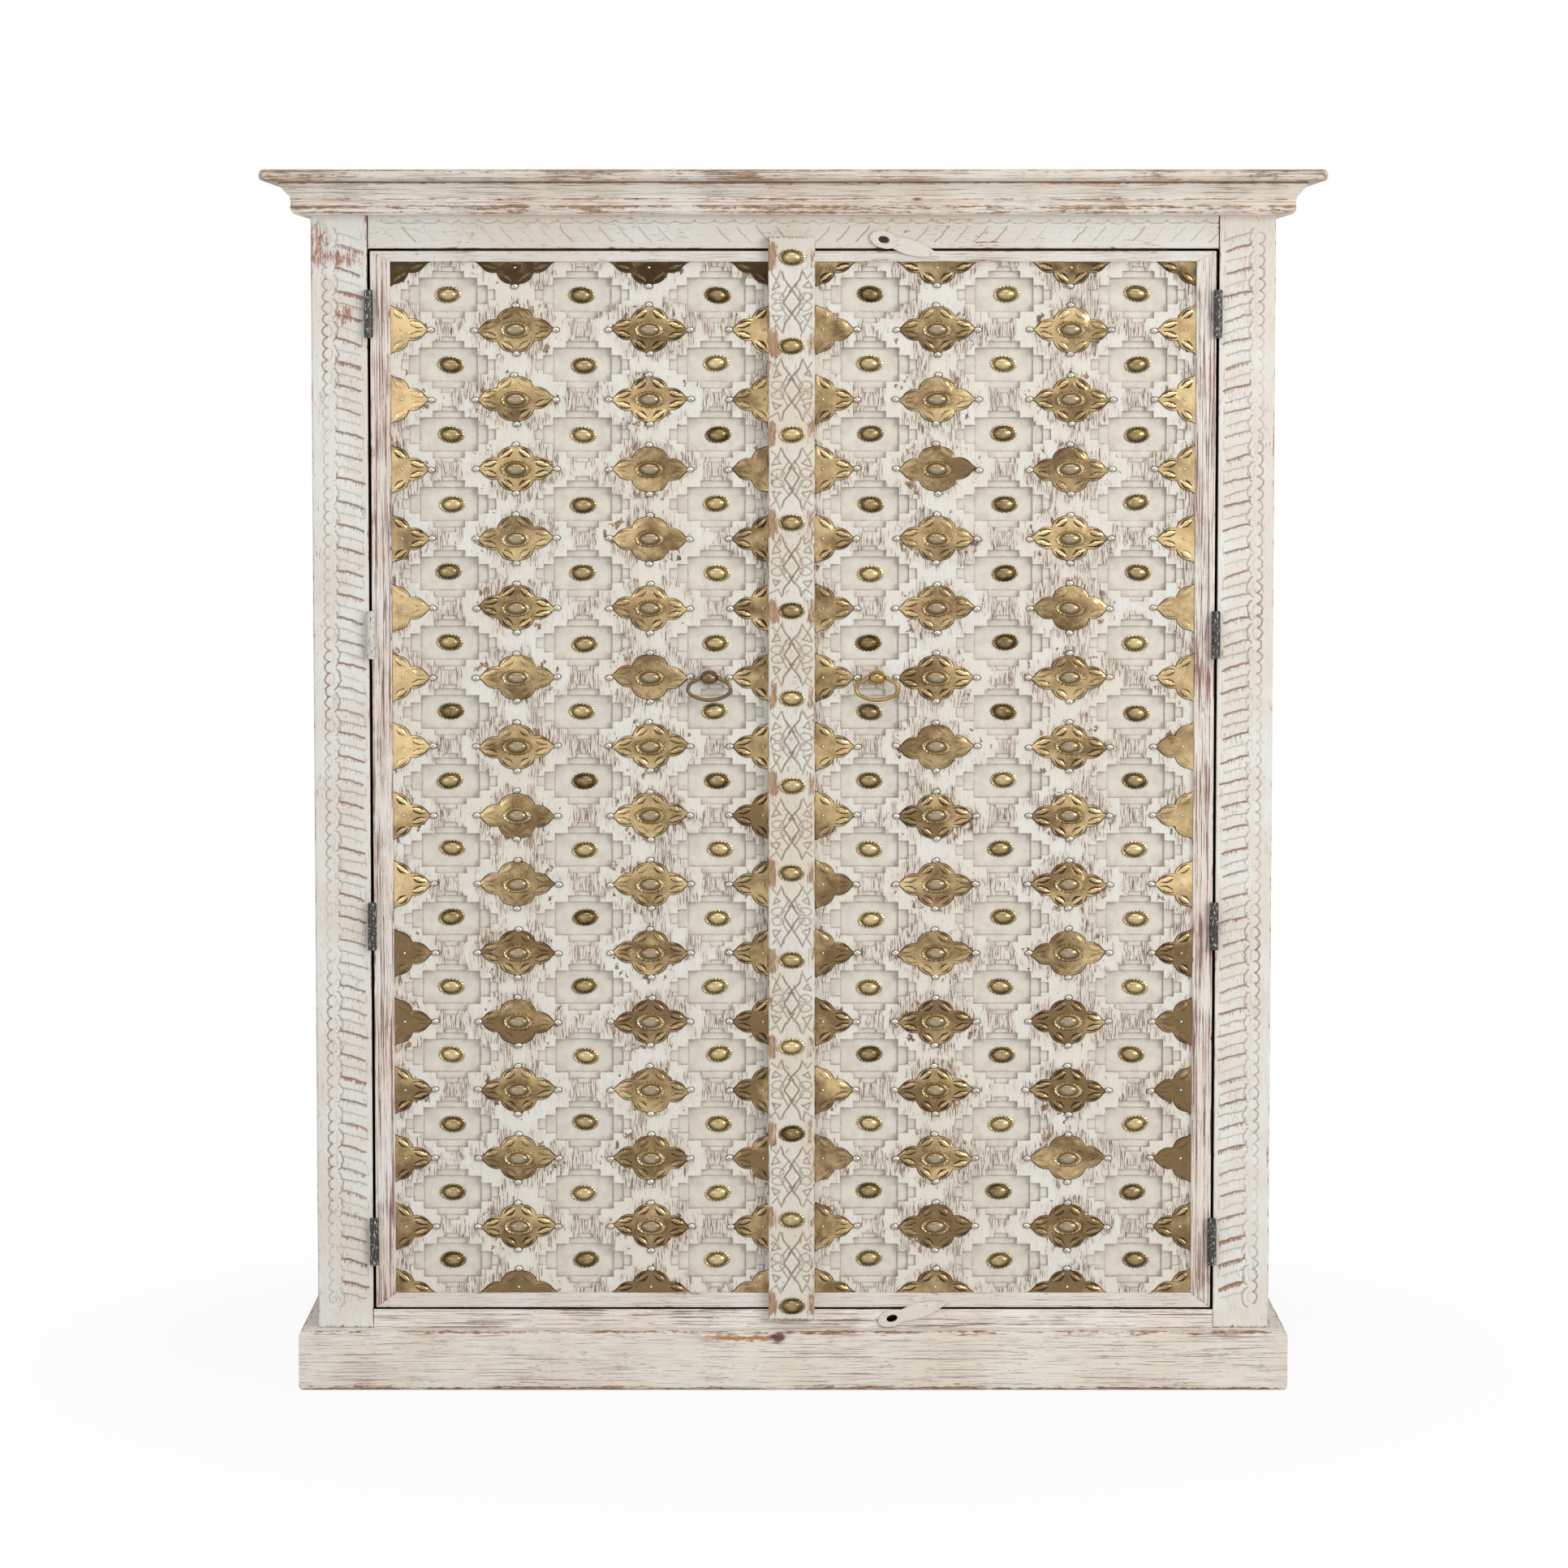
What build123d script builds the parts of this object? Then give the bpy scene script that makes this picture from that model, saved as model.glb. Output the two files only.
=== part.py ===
from build123d import *
import os
from math import cos, radians, sin, sqrt

os.makedirs("parts", exist_ok=True)

# A painted cabinet with two inset doors of carved, brass-mounted panels.
# Sizes are in millimetres. +X is to the right of someone facing the doors, -Y is
# towards them and +Z is up. The origin is on the floor, in the middle of the box
# round the whole cabinet.

# Case
CASE_WIDTH = 1177.0
CASE_DEPTH = 400.0
CASE_HEIGHT = 1500.0
SIDE_THICKNESS = 22.0
FLOOR_THICKNESS = 20.0
BACK_THICKNESS = 10.0
BACK_BOARD_COUNT = 5
BACK_BOARD_GAP = 0.6

# Face frame round the doors
FRAME_THICKNESS = 24.0
STILE_WIDTH = 69.0
FRIEZE_HEIGHT = 40.5
BOTTOM_RAIL_HEIGHT = 23.0

# Plinth
PLINTH_HEIGHT = 75.0
PLINTH_REACH = 22.5
PLINTH_THICKNESS = 48.0
PLINTH_BACK_THICKNESS = 22.0
PLINTH_EDGE_RADIUS = 6.0

# Top board and the moulding under it
TOP_THICKNESS = 14.0
TOP_REACH = 58.0
TOP_CORNER_RADIUS = 9.0
TOP_NOSE_RADIUS = 6.8
MOULDING_HEIGHT = 40.0
MOULDING_REACH = 36.0
MOULDING_FILLET = 3.0
BEAD_REACH = 22.5
BEAD_RADIUS = 9.0
BEAD_HEIGHT = 20.0
COVE_REACH = 27.0
COVE_HEIGHT = 26.3

# Shelves
SHELF_NAMES = ("lower_shelf", "middle_shelf", "upper_shelf")
SHELF_THICKNESS = 18.0
SHELF_SETBACK = 18.0
SHELF_CLEARANCE = 0.5
CLEAT_SIZE = 18.0
CLEAT_END_GAP = 30.0

# Door frames
DOOR_THICKNESS = 24.0
DOOR_PROUD = 0.3
HINGE_GAP = 3.0
MEETING_GAP = 3.0
TOP_GAP = 2.5
BOTTOM_GAP = 2.5
OUTER_STILE_WIDTH = 24.5
INNER_STILE_WIDTH = 22.0
DOOR_TOP_RAIL_HEIGHT = 13.0
DOOR_BOTTOM_RAIL_HEIGHT = 18.0
STOP_THICKNESS = 12.0
STOP_OVERLAP = 11.0
STOP_SEAT = 18.0
STOP_END_GAP = 60.0

# Carved door panels: columns and rows of stepped crosses sunk into the face
PANEL_THICKNESS = 15.0
PANEL_RECESS = 5.0
PANEL_TONGUE = 5.0
GROOVE_CLEARANCE = 0.2
PIT_COLUMNS = 3
PIT_ROWS = 15
PIT_COLUMN_MARGIN = 70.5
PIT_ROW_MARGIN = 40.0
PIT_STEP = 2.8
POCKET_WIDTH = 71.0
POCKET_HEIGHT = 41.0
INNER_ARM_WIDTH = 96.0
INNER_ARM_HEIGHT = 22.5
INNER_NECK_WIDTH = 38.5
INNER_NECK_HEIGHT = 57.0
OUTER_ARM_WIDTH = 115.0
OUTER_ARM_HEIGHT = 12.5
OUTER_NECK_WIDTH = 17.0
OUTER_NECK_HEIGHT = 68.0

# Brass flowers between the crosses, and the halves of them along the panel's edges
SHEET_THICKNESS = 1.2
FLOWER_HALF_WIDTH = 49.5
FLOWER_HALF_HEIGHT = 30.5
FLOWER_NOTCH_X = 22.0
FLOWER_NOTCH_Y = 13.5
SIDE_LOBE_X = 40.0
SIDE_LOBE_Y = 8.5
TOP_LOBE_X = 10.0
TOP_LOBE_Y = 27.3
PETAL_BULGE = 3.2
PETAL_TIP_DIP = 0.9
FLOWER_TRIM = 0.3
INNER_FLOWER_INSET = 5.0
BOSS_RADIUS_X = 18.5
BOSS_RADIUS_Y = 11.0
BOSS_RIM = 1.5
BOSS_DOME_RADIUS_X = 13.0
BOSS_DOME_RADIUS_Y = 7.5
BOSS_DOME_HEIGHT = 2.6
PIN_HEAD_RADIUS = 2.0
PIN_HEAD_HEIGHT = 1.2
SIDE_PIN_INSET = 13.0
TOP_PIN_INSET = 7.0
NAIL_OFFSET_X = 53.0
NAIL_OFFSET_Y = 32.0
NAIL_RADIUS_X = 7.0
NAIL_RADIUS_Y = 4.5
NAIL_HEIGHT = 2.5
NAIL_SHANK_RADIUS = 1.2

# Rosette studs, one in each cross and a row of them down the astragal
STUD_RADIUS_X = 16.0
STUD_RADIUS_Y = 10.0
STUD_FLANGE = 1.0
STUD_DOME_RADIUS_X = 12.5
STUD_DOME_RADIUS_Y = 6.8
STUD_DOME_HEIGHT = 3.4
DOME_TAPER = 40.0

# Astragal, the strip on the right door that laps over the left one
ASTRAGAL_WIDTH = 57.0
ASTRAGAL_THICKNESS = 14.0
ASTRAGAL_SHIFT = -2.0
ASTRAGAL_TOP_LAP = 17.0
ASTRAGAL_BOTTOM_LAP = 13.0
ASTRAGAL_CHAMFER = 1.5
ASTRAGAL_STUD_COUNT = 13
ASTRAGAL_TOP_MARGIN = 25.0
ASTRAGAL_BOTTOM_MARGIN = 17.0

# Hinges: four to a door, with their barrels in front of the faces
HINGE_HEIGHT = 57.0
HINGE_OUTER_OFFSET = 571.5
HINGE_INNER_OFFSET = 179.5
KNUCKLE_RADIUS = 5.5
KNUCKLE_CLEARANCE = 0.3
KNUCKLE_COUNT = 3
LEAF_THICKNESS = 1.2
LEAF_DEPTH = 20.0
HINGE_PIN_RADIUS = 2.5
HINGE_PIN_CLEARANCE = 0.05
HINGE_PIN_HEAD = 1.5
SCREWS_PER_LEAF = 3
SCREW_PITCH = 19.0
SCREW_HEAD_RADIUS = 3.0
SCREW_SHANK_RADIUS = 1.5
SCREW_LENGTH = 13.0
SCREW_CLEARANCE = 0.05

# Ring pulls
PULL_OFFSET = 9.0
PULL_ROWS_ABOVE_MIDDLE = 1.5
PULL_STANDOFF = 12.0
ROSE_RADIUS_X = 11.5
ROSE_RADIUS_Y = 9.0
ROSE_THICKNESS = 2.0
STEM_RADIUS = 4.0
BARREL_HALF_LENGTH = 9.0
BARREL_RADIUS = 6.8
BARREL_END_RADIUS = 3.2
RING_HALF_WIDTH = 26.0
RING_HALF_HEIGHT = 13.6
RING_END_RADIUS = 9.0
RING_WIRE_RADIUS = 2.3
RING_COLLAR_RADIUS = 2.9
RING_STUB_RADIUS = 1.4
RING_STUB_DEPTH = 5.0
RING_CLEARANCE = 0.3

# Hasps, leaf-shaped plates that turn on nails in the right door
UPPER_HASP_X = 170.0
LOWER_HASP_X = 182.0
HASP_THICKNESS = 4.0
HASP_TILT = 16.0
HASP_NAIL_INSET = 3.5
HASP_REACH = 62.0
HASP_TIP = 9.0
HASP_BELLY = 9.5
HASP_NECK_OVERLAP = 6.0
EYE_RADIUS_X = 17.5
EYE_RADIUS_Y = 10.5
EYE_HOLE_RADIUS_X = 6.9
EYE_HOLE_RADIUS_Y = 4.4
HASP_NAIL_RADIUS = 1.1
HASP_NAIL_HEAD_RADIUS = 2.8
HASP_NAIL_HEAD_HEIGHT = 1.4
HASP_NAIL_BITE = 14.0
HASP_CLEARANCE = 0.1
HASP_HEAD_GAP = 0.2
PEG_HOLE_DEPTH = 16.0

# Places that follow from those sizes
HALF_WIDTH = CASE_WIDTH / 2
FACE_Y = TOP_REACH - (CASE_DEPTH + TOP_REACH) / 2
BACK_Y = FACE_Y + CASE_DEPTH
CASE_TOP = CASE_HEIGHT - TOP_THICKNESS
MOULDING_FOOT = CASE_TOP - MOULDING_HEIGHT
INSIDE_HALF_WIDTH = HALF_WIDTH - SIDE_THICKNESS
FLOOR_TOP = PLINTH_HEIGHT + FLOOR_THICKNESS
INSIDE_BACK_Y = BACK_Y - BACK_THICKNESS
FRAME_BACK_Y = FACE_Y + FRAME_THICKNESS

OPENING_HALF_WIDTH = HALF_WIDTH - STILE_WIDTH
OPENING_FOOT = PLINTH_HEIGHT + BOTTOM_RAIL_HEIGHT
OPENING_HEAD = MOULDING_FOOT - FRIEZE_HEIGHT

DOOR_OUTER_X = OPENING_HALF_WIDTH - HINGE_GAP
DOOR_INNER_X = MEETING_GAP / 2
DOOR_FOOT = OPENING_FOOT + BOTTOM_GAP
DOOR_HEAD = OPENING_HEAD - TOP_GAP

PANEL_OUTER_X = DOOR_OUTER_X - OUTER_STILE_WIDTH
PANEL_INNER_X = DOOR_INNER_X + INNER_STILE_WIDTH
PANEL_FOOT = DOOR_FOOT + DOOR_BOTTOM_RAIL_HEIGHT
PANEL_HEAD = DOOR_HEAD - DOOR_TOP_RAIL_HEIGHT
PANEL_WIDTH = PANEL_OUTER_X - PANEL_INNER_X
PANEL_HEIGHT = PANEL_HEAD - PANEL_FOOT
PANEL_X = (PANEL_OUTER_X + PANEL_INNER_X) / 2
PANEL_Z = (PANEL_HEAD + PANEL_FOOT) / 2
PIT_DEPTH = 3 * PIT_STEP

COLUMN_PITCH = (PANEL_WIDTH - 2 * PIT_COLUMN_MARGIN) / (PIT_COLUMNS - 1)
ROW_PITCH = (PANEL_HEIGHT - 2 * PIT_ROW_MARGIN) / (PIT_ROWS - 1)
FLOWER_COLUMNS = PIT_COLUMNS - 1
FLOWER_ROWS = PIT_ROWS - 1
SIDE_FLOWER_XS = (PANEL_INNER_X + INNER_FLOWER_INSET, PANEL_OUTER_X)

HINGE_X = OPENING_HALF_WIDTH - HINGE_GAP / 2
HINGE_Y = FACE_Y - DOOR_PROUD - KNUCKLE_CLEARANCE - KNUCKLE_RADIUS
HINGE_OFFSETS = (HINGE_OUTER_OFFSET, HINGE_INNER_OFFSET)
HINGE_ZS = [PANEL_Z + side * offset for offset in HINGE_OFFSETS for side in (-1, 1)]
KNUCKLE_PITCH = HINGE_HEIGHT / KNUCKLE_COUNT
KNUCKLE_HEIGHT = KNUCKLE_PITCH - KNUCKLE_CLEARANCE
LEAF_ROOT_Y = HINGE_Y + (KNUCKLE_RADIUS + HINGE_PIN_RADIUS) / 2

PULL_X = PANEL_INNER_X + PIT_COLUMN_MARGIN + PULL_OFFSET
PULL_Z = PANEL_Z + PULL_ROWS_ABOVE_MIDDLE * ROW_PITCH

ASTRAGAL_X = ASTRAGAL_SHIFT
ASTRAGAL_HEAD = DOOR_HEAD + ASTRAGAL_TOP_LAP
ASTRAGAL_FOOT = DOOR_FOOT - ASTRAGAL_BOTTOM_LAP

UPPER_HASP_Z = DOOR_HEAD - HASP_NAIL_INSET
LOWER_HASP_Z = DOOR_FOOT + HASP_NAIL_INSET
EYE_SHIFT = HASP_REACH * cos(radians(HASP_TILT))
EYE_RISE = HASP_REACH * sin(radians(HASP_TILT))

# Directions and planes
RIGHT = (1, 0, 0)
OUTWARD = (0, -1, 0)
RIGHT_MITRE = Plane(origin=(HALF_WIDTH, FACE_Y, 0), z_dir=(1, 1, 0))
LEFT_MITRE = Plane(origin=(-HALF_WIDTH, FACE_Y, 0), z_dir=(-1, 1, 0))


def front(depth):
    """The plane this far behind the face of the case, looking out of it: X across, Z up."""
    return Plane.XZ.offset(-(FACE_Y + depth))


def door_front(depth):
    """The plane this far behind the faces of the doors, looking out of them."""
    return front(depth - DOOR_PROUD)


def span(across, up):
    """A rectangle between two places across and two up, in the sketch being drawn."""
    with Locations(((across[0] + across[1]) / 2, (up[0] + up[1]) / 2)):
        Rectangle(across[1] - across[0], up[1] - up[0])


def cut_peg_hole(x, z, tilt):
    """Cuts the blind hole behind a hasp's eye, for the peg that goes through both."""
    with BuildSketch(front(0)) as hole:
        with Locations(Location((x, z, 0), (0, 0, tilt))):
            Ellipse(EYE_HOLE_RADIUS_X, EYE_HOLE_RADIUS_Y)
    extrude(hole.sketch, amount=-PEG_HOLE_DEPTH, mode=Mode.SUBTRACT)


def write(piece, name):
    """Labels a finished piece and writes it."""
    piece.part.label = name
    export_step(piece.part, f"parts/{name}.step")


def write_pair(piece, name):
    """Writes a right-hand piece and its left-hand twin."""
    write(piece, f"right_{name}")
    with BuildPart() as twin:
        mirror(piece.part, about=Plane.YZ)
    write(twin, f"left_{name}")


# ---------------------------------------------------------------- case

with BuildPart() as side_panel:
    with BuildSketch(Plane.XY.offset(PLINTH_HEIGHT)):
        span((INSIDE_HALF_WIDTH, HALF_WIDTH), (FRAME_BACK_Y, BACK_Y))
    extrude(amount=CASE_TOP - PLINTH_HEIGHT)
write_pair(side_panel, "side_panel")

back_pitch = 2 * INSIDE_HALF_WIDTH / BACK_BOARD_COUNT
with BuildPart() as back_boards:
    with BuildSketch(front(CASE_DEPTH - BACK_THICKNESS)):
        with Locations((0, (CASE_TOP + PLINTH_HEIGHT) / 2)):
            with GridLocations(back_pitch, 1, BACK_BOARD_COUNT, 1):
                Rectangle(back_pitch - BACK_BOARD_GAP, CASE_TOP - PLINTH_HEIGHT)
    extrude(amount=-BACK_THICKNESS)
write(back_boards, "back_boards")

with BuildPart() as floor_board:
    with BuildSketch(Plane.XY.offset(PLINTH_HEIGHT)):
        span((-INSIDE_HALF_WIDTH, INSIDE_HALF_WIDTH), (FRAME_BACK_Y, INSIDE_BACK_Y))
    extrude(amount=FLOOR_THICKNESS)
write(floor_board, "floor_board")

with BuildPart() as stile:
    with BuildSketch(front(0)):
        span((OPENING_HALF_WIDTH, HALF_WIDTH), (PLINTH_HEIGHT, CASE_TOP))
    extrude(amount=-FRAME_THICKNESS)
    # Pilot holes for the hinge screws, in the edge that faces the door
    for hinge_z in HINGE_ZS:
        with BuildSketch(Plane.YZ.offset(OPENING_HALF_WIDTH)):
            with Locations((FACE_Y + LEAF_DEPTH / 2, hinge_z)):
                with GridLocations(1, SCREW_PITCH, 1, SCREWS_PER_LEAF):
                    Circle(SCREW_SHANK_RADIUS + SCREW_CLEARANCE)
        extrude(amount=SCREW_LENGTH, mode=Mode.SUBTRACT)
write_pair(stile, "stile")

with BuildPart() as top_rail:
    with BuildSketch(front(0)):
        span((-OPENING_HALF_WIDTH, OPENING_HALF_WIDTH), (OPENING_HEAD, CASE_TOP))
    extrude(amount=-FRAME_THICKNESS)
    cut_peg_hole(UPPER_HASP_X - EYE_SHIFT, UPPER_HASP_Z + EYE_RISE, -HASP_TILT)
write(top_rail, "top_rail")

with BuildPart() as bottom_rail:
    with BuildSketch(front(0)):
        span((-OPENING_HALF_WIDTH, OPENING_HALF_WIDTH), (PLINTH_HEIGHT, OPENING_FOOT))
    extrude(amount=-FRAME_THICKNESS)
    cut_peg_hole(LOWER_HASP_X - EYE_SHIFT, LOWER_HASP_Z - EYE_RISE, HASP_TILT)
write(bottom_rail, "bottom_rail")

# ---------------------------------------------------------------- plinth

with BuildSketch() as plinth_profile:
    with Locations((PLINTH_REACH - PLINTH_THICKNESS / 2, PLINTH_HEIGHT / 2)):
        Rectangle(PLINTH_THICKNESS, PLINTH_HEIGHT)
    fillet(plinth_profile.vertices().group_by(Axis.X)[-1], PLINTH_EDGE_RADIUS)

with BuildPart() as plinth_front:
    with BuildSketch(Plane(origin=(0, FACE_Y, 0), x_dir=OUTWARD, z_dir=(-1, 0, 0))):
        add(plinth_profile.sketch)
    extrude(amount=HALF_WIDTH + PLINTH_REACH, both=True)
    split(bisect_by=RIGHT_MITRE, keep=Keep.BOTTOM)
    split(bisect_by=LEFT_MITRE, keep=Keep.BOTTOM)
write(plinth_front, "plinth_front")

with BuildPart() as plinth_side:
    with BuildSketch(Plane(origin=(HALF_WIDTH, BACK_Y, 0), x_dir=RIGHT, z_dir=OUTWARD)):
        add(plinth_profile.sketch)
    extrude(amount=CASE_DEPTH + PLINTH_REACH)
    split(bisect_by=RIGHT_MITRE, keep=Keep.TOP)
write_pair(plinth_side, "plinth_side")

plinth_inside = HALF_WIDTH + PLINTH_REACH - PLINTH_THICKNESS
with BuildPart() as plinth_back:
    with BuildSketch(Plane.XY):
        span((-plinth_inside, plinth_inside), (BACK_Y - PLINTH_BACK_THICKNESS, BACK_Y))
    extrude(amount=PLINTH_HEIGHT)
write(plinth_back, "plinth_back")

# ---------------------------------------------------------------- top and cornice

with BuildPart() as top_board:
    with BuildSketch(Plane.XY.offset(CASE_TOP)) as top_outline:
        reach = HALF_WIDTH + TOP_REACH
        span((-reach, reach), (FACE_Y - TOP_REACH, BACK_Y))
        fillet(top_outline.vertices().group_by(Axis.Y)[0], TOP_CORNER_RADIUS)
    extrude(amount=TOP_THICKNESS)
    nose_edges = [
        edge
        for face in (top_board.faces().sort_by(Axis.Z)[0], top_board.faces().sort_by(Axis.Z)[-1])
        for edge in face.edges().sort_by(Axis.Y)[:-1]
    ]
    fillet(nose_edges, TOP_NOSE_RADIUS)
write(top_board, "top_board")

# The moulding's section, out from the case and up from its foot: a bead below, then
# a small fillet, a cove that opens outwards and a fillet under the top board.
with BuildSketch() as moulding_profile:
    with BuildLine():
        Line((0, 0), (BEAD_REACH - BEAD_RADIUS, 0))
        TangentArc((BEAD_REACH, BEAD_RADIUS), (BEAD_REACH - BEAD_RADIUS, 0), tangent=(0, -1))
        Line((BEAD_REACH, BEAD_RADIUS), (BEAD_REACH, BEAD_HEIGHT))
        TangentArc((BEAD_REACH, BEAD_HEIGHT), (COVE_REACH, COVE_HEIGHT), tangent=(0, 1))
        Line((COVE_REACH, COVE_HEIGHT), (MOULDING_REACH, MOULDING_HEIGHT - MOULDING_FILLET))
        Line((MOULDING_REACH, MOULDING_HEIGHT - MOULDING_FILLET), (MOULDING_REACH, MOULDING_HEIGHT))
        Line((MOULDING_REACH, MOULDING_HEIGHT), (0, MOULDING_HEIGHT))
        Line((0, MOULDING_HEIGHT), (0, 0))
    make_face()

with BuildPart() as cornice_front:
    with BuildSketch(Plane(origin=(0, FACE_Y, MOULDING_FOOT), x_dir=OUTWARD, z_dir=(-1, 0, 0))):
        add(moulding_profile.sketch)
    extrude(amount=HALF_WIDTH + MOULDING_REACH, both=True)
    split(bisect_by=RIGHT_MITRE, keep=Keep.BOTTOM)
    split(bisect_by=LEFT_MITRE, keep=Keep.BOTTOM)
write(cornice_front, "cornice_front")

with BuildPart() as cornice_side:
    with BuildSketch(Plane(origin=(HALF_WIDTH, BACK_Y, MOULDING_FOOT), x_dir=RIGHT, z_dir=OUTWARD)):
        add(moulding_profile.sketch)
    extrude(amount=CASE_DEPTH + MOULDING_REACH)
    split(bisect_by=RIGHT_MITRE, keep=Keep.TOP)
write_pair(cornice_side, "cornice_side")

# ---------------------------------------------------------------- inside

shelf_pitch = (CASE_TOP - FLOOR_TOP) / (len(SHELF_NAMES) + 1)
shelf_front = FRAME_BACK_Y + SHELF_SETBACK
shelf_feet = [
    FLOOR_TOP + shelf_pitch * (index + 1) - SHELF_THICKNESS / 2
    for index in range(len(SHELF_NAMES))
]
for shelf_name, shelf_foot in zip(SHELF_NAMES, shelf_feet):
    with BuildPart() as shelf:
        with BuildSketch(Plane.XY.offset(shelf_foot)):
            shelf_half_width = INSIDE_HALF_WIDTH - SHELF_CLEARANCE
            span((-shelf_half_width, shelf_half_width), (shelf_front, INSIDE_BACK_Y - SHELF_CLEARANCE))
        extrude(amount=SHELF_THICKNESS)
    write(shelf, shelf_name)

with BuildPart() as shelf_cleats:
    for shelf_foot in shelf_feet:
        with BuildSketch(Plane.XY.offset(shelf_foot)):
            cleat_run = (shelf_front + CLEAT_END_GAP, INSIDE_BACK_Y - CLEAT_END_GAP)
            span((INSIDE_HALF_WIDTH - CLEAT_SIZE, INSIDE_HALF_WIDTH), cleat_run)
            span((-INSIDE_HALF_WIDTH, CLEAT_SIZE - INSIDE_HALF_WIDTH), cleat_run)
        extrude(amount=-CLEAT_SIZE)
write(shelf_cleats, "shelf_cleats")

# Strips behind the top rail and on the floor, which the closed doors meet
for stop_name, stop_up in (
    ("top_door_stop", (DOOR_HEAD - STOP_OVERLAP, OPENING_HEAD + STOP_SEAT)),
    ("bottom_door_stop", (FLOOR_TOP, DOOR_FOOT + STOP_OVERLAP)),
):
    with BuildPart() as door_stop:
        with BuildSketch(front(FRAME_THICKNESS)):
            stop_half_width = OPENING_HALF_WIDTH - STOP_END_GAP
            span((-stop_half_width, stop_half_width), stop_up)
        extrude(amount=-STOP_THICKNESS)
    write(door_stop, stop_name)

# ---------------------------------------------------------------- door frames

# What the panel's edges take out of the frame round it
with BuildPart() as panel_groove:
    with BuildSketch(door_front(PANEL_RECESS - GROOVE_CLEARANCE / 2)):
        with Locations((PANEL_X, PANEL_Z)):
            groove_reach = 2 * (PANEL_TONGUE + GROOVE_CLEARANCE)
            Rectangle(PANEL_WIDTH + groove_reach, PANEL_HEIGHT + groove_reach)
    extrude(amount=-(PANEL_THICKNESS + GROOVE_CLEARANCE))

with BuildPart() as outer_stile:
    with BuildSketch(door_front(0)):
        Polygon(
            (DOOR_OUTER_X, DOOR_FOOT),
            (DOOR_OUTER_X, DOOR_HEAD),
            (PANEL_OUTER_X, PANEL_HEAD),
            (PANEL_OUTER_X, PANEL_FOOT),
            align=None,
        )
    extrude(amount=-DOOR_THICKNESS)
    add(panel_groove.part, mode=Mode.SUBTRACT)
    # Pilot holes for the hinge screws
    for hinge_z in HINGE_ZS:
        with BuildSketch(Plane.YZ.offset(DOOR_OUTER_X)):
            with Locations((FACE_Y + LEAF_DEPTH / 2, hinge_z)):
                with GridLocations(1, SCREW_PITCH, 1, SCREWS_PER_LEAF):
                    Circle(SCREW_SHANK_RADIUS + SCREW_CLEARANCE)
        extrude(amount=-SCREW_LENGTH, mode=Mode.SUBTRACT)
write_pair(outer_stile, "door_outer_stile")

with BuildPart() as inner_stile:
    with BuildSketch(door_front(0)):
        Polygon(
            (DOOR_INNER_X, DOOR_FOOT),
            (PANEL_INNER_X, PANEL_FOOT),
            (PANEL_INNER_X, PANEL_HEAD),
            (DOOR_INNER_X, DOOR_HEAD),
            align=None,
        )
    extrude(amount=-DOOR_THICKNESS)
    add(panel_groove.part, mode=Mode.SUBTRACT)
write_pair(inner_stile, "door_inner_stile")

# The hasps' nails go into the right door's rails, so those two are cut after their twins
with BuildPart() as door_top_rail:
    with BuildSketch(door_front(0)):
        Polygon(
            (DOOR_INNER_X, DOOR_HEAD),
            (PANEL_INNER_X, PANEL_HEAD),
            (PANEL_OUTER_X, PANEL_HEAD),
            (DOOR_OUTER_X, DOOR_HEAD),
            align=None,
        )
    extrude(amount=-DOOR_THICKNESS)
    add(panel_groove.part, mode=Mode.SUBTRACT)
with BuildPart() as left_door_top_rail:
    mirror(door_top_rail.part, about=Plane.YZ)
with BuildPart() as right_door_top_rail:
    add(door_top_rail.part)
    with BuildSketch(door_front(0)):
        with Locations((UPPER_HASP_X, UPPER_HASP_Z)):
            Circle(HASP_NAIL_RADIUS + SCREW_CLEARANCE)
    extrude(amount=-HASP_NAIL_BITE, mode=Mode.SUBTRACT)
write(left_door_top_rail, "left_door_top_rail")
write(right_door_top_rail, "right_door_top_rail")

with BuildPart() as door_bottom_rail:
    with BuildSketch(door_front(0)):
        Polygon(
            (DOOR_INNER_X, DOOR_FOOT),
            (DOOR_OUTER_X, DOOR_FOOT),
            (PANEL_OUTER_X, PANEL_FOOT),
            (PANEL_INNER_X, PANEL_FOOT),
            align=None,
        )
    extrude(amount=-DOOR_THICKNESS)
    add(panel_groove.part, mode=Mode.SUBTRACT)
with BuildPart() as left_door_bottom_rail:
    mirror(door_bottom_rail.part, about=Plane.YZ)
with BuildPart() as right_door_bottom_rail:
    add(door_bottom_rail.part)
    with BuildSketch(door_front(0)):
        with Locations((LOWER_HASP_X, LOWER_HASP_Z)):
            Circle(HASP_NAIL_RADIUS + SCREW_CLEARANCE)
    extrude(amount=-HASP_NAIL_BITE, mode=Mode.SUBTRACT)
write(left_door_bottom_rail, "left_door_bottom_rail")
write(right_door_bottom_rail, "right_door_bottom_rail")

# ---------------------------------------------------------------- carved panels

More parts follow.
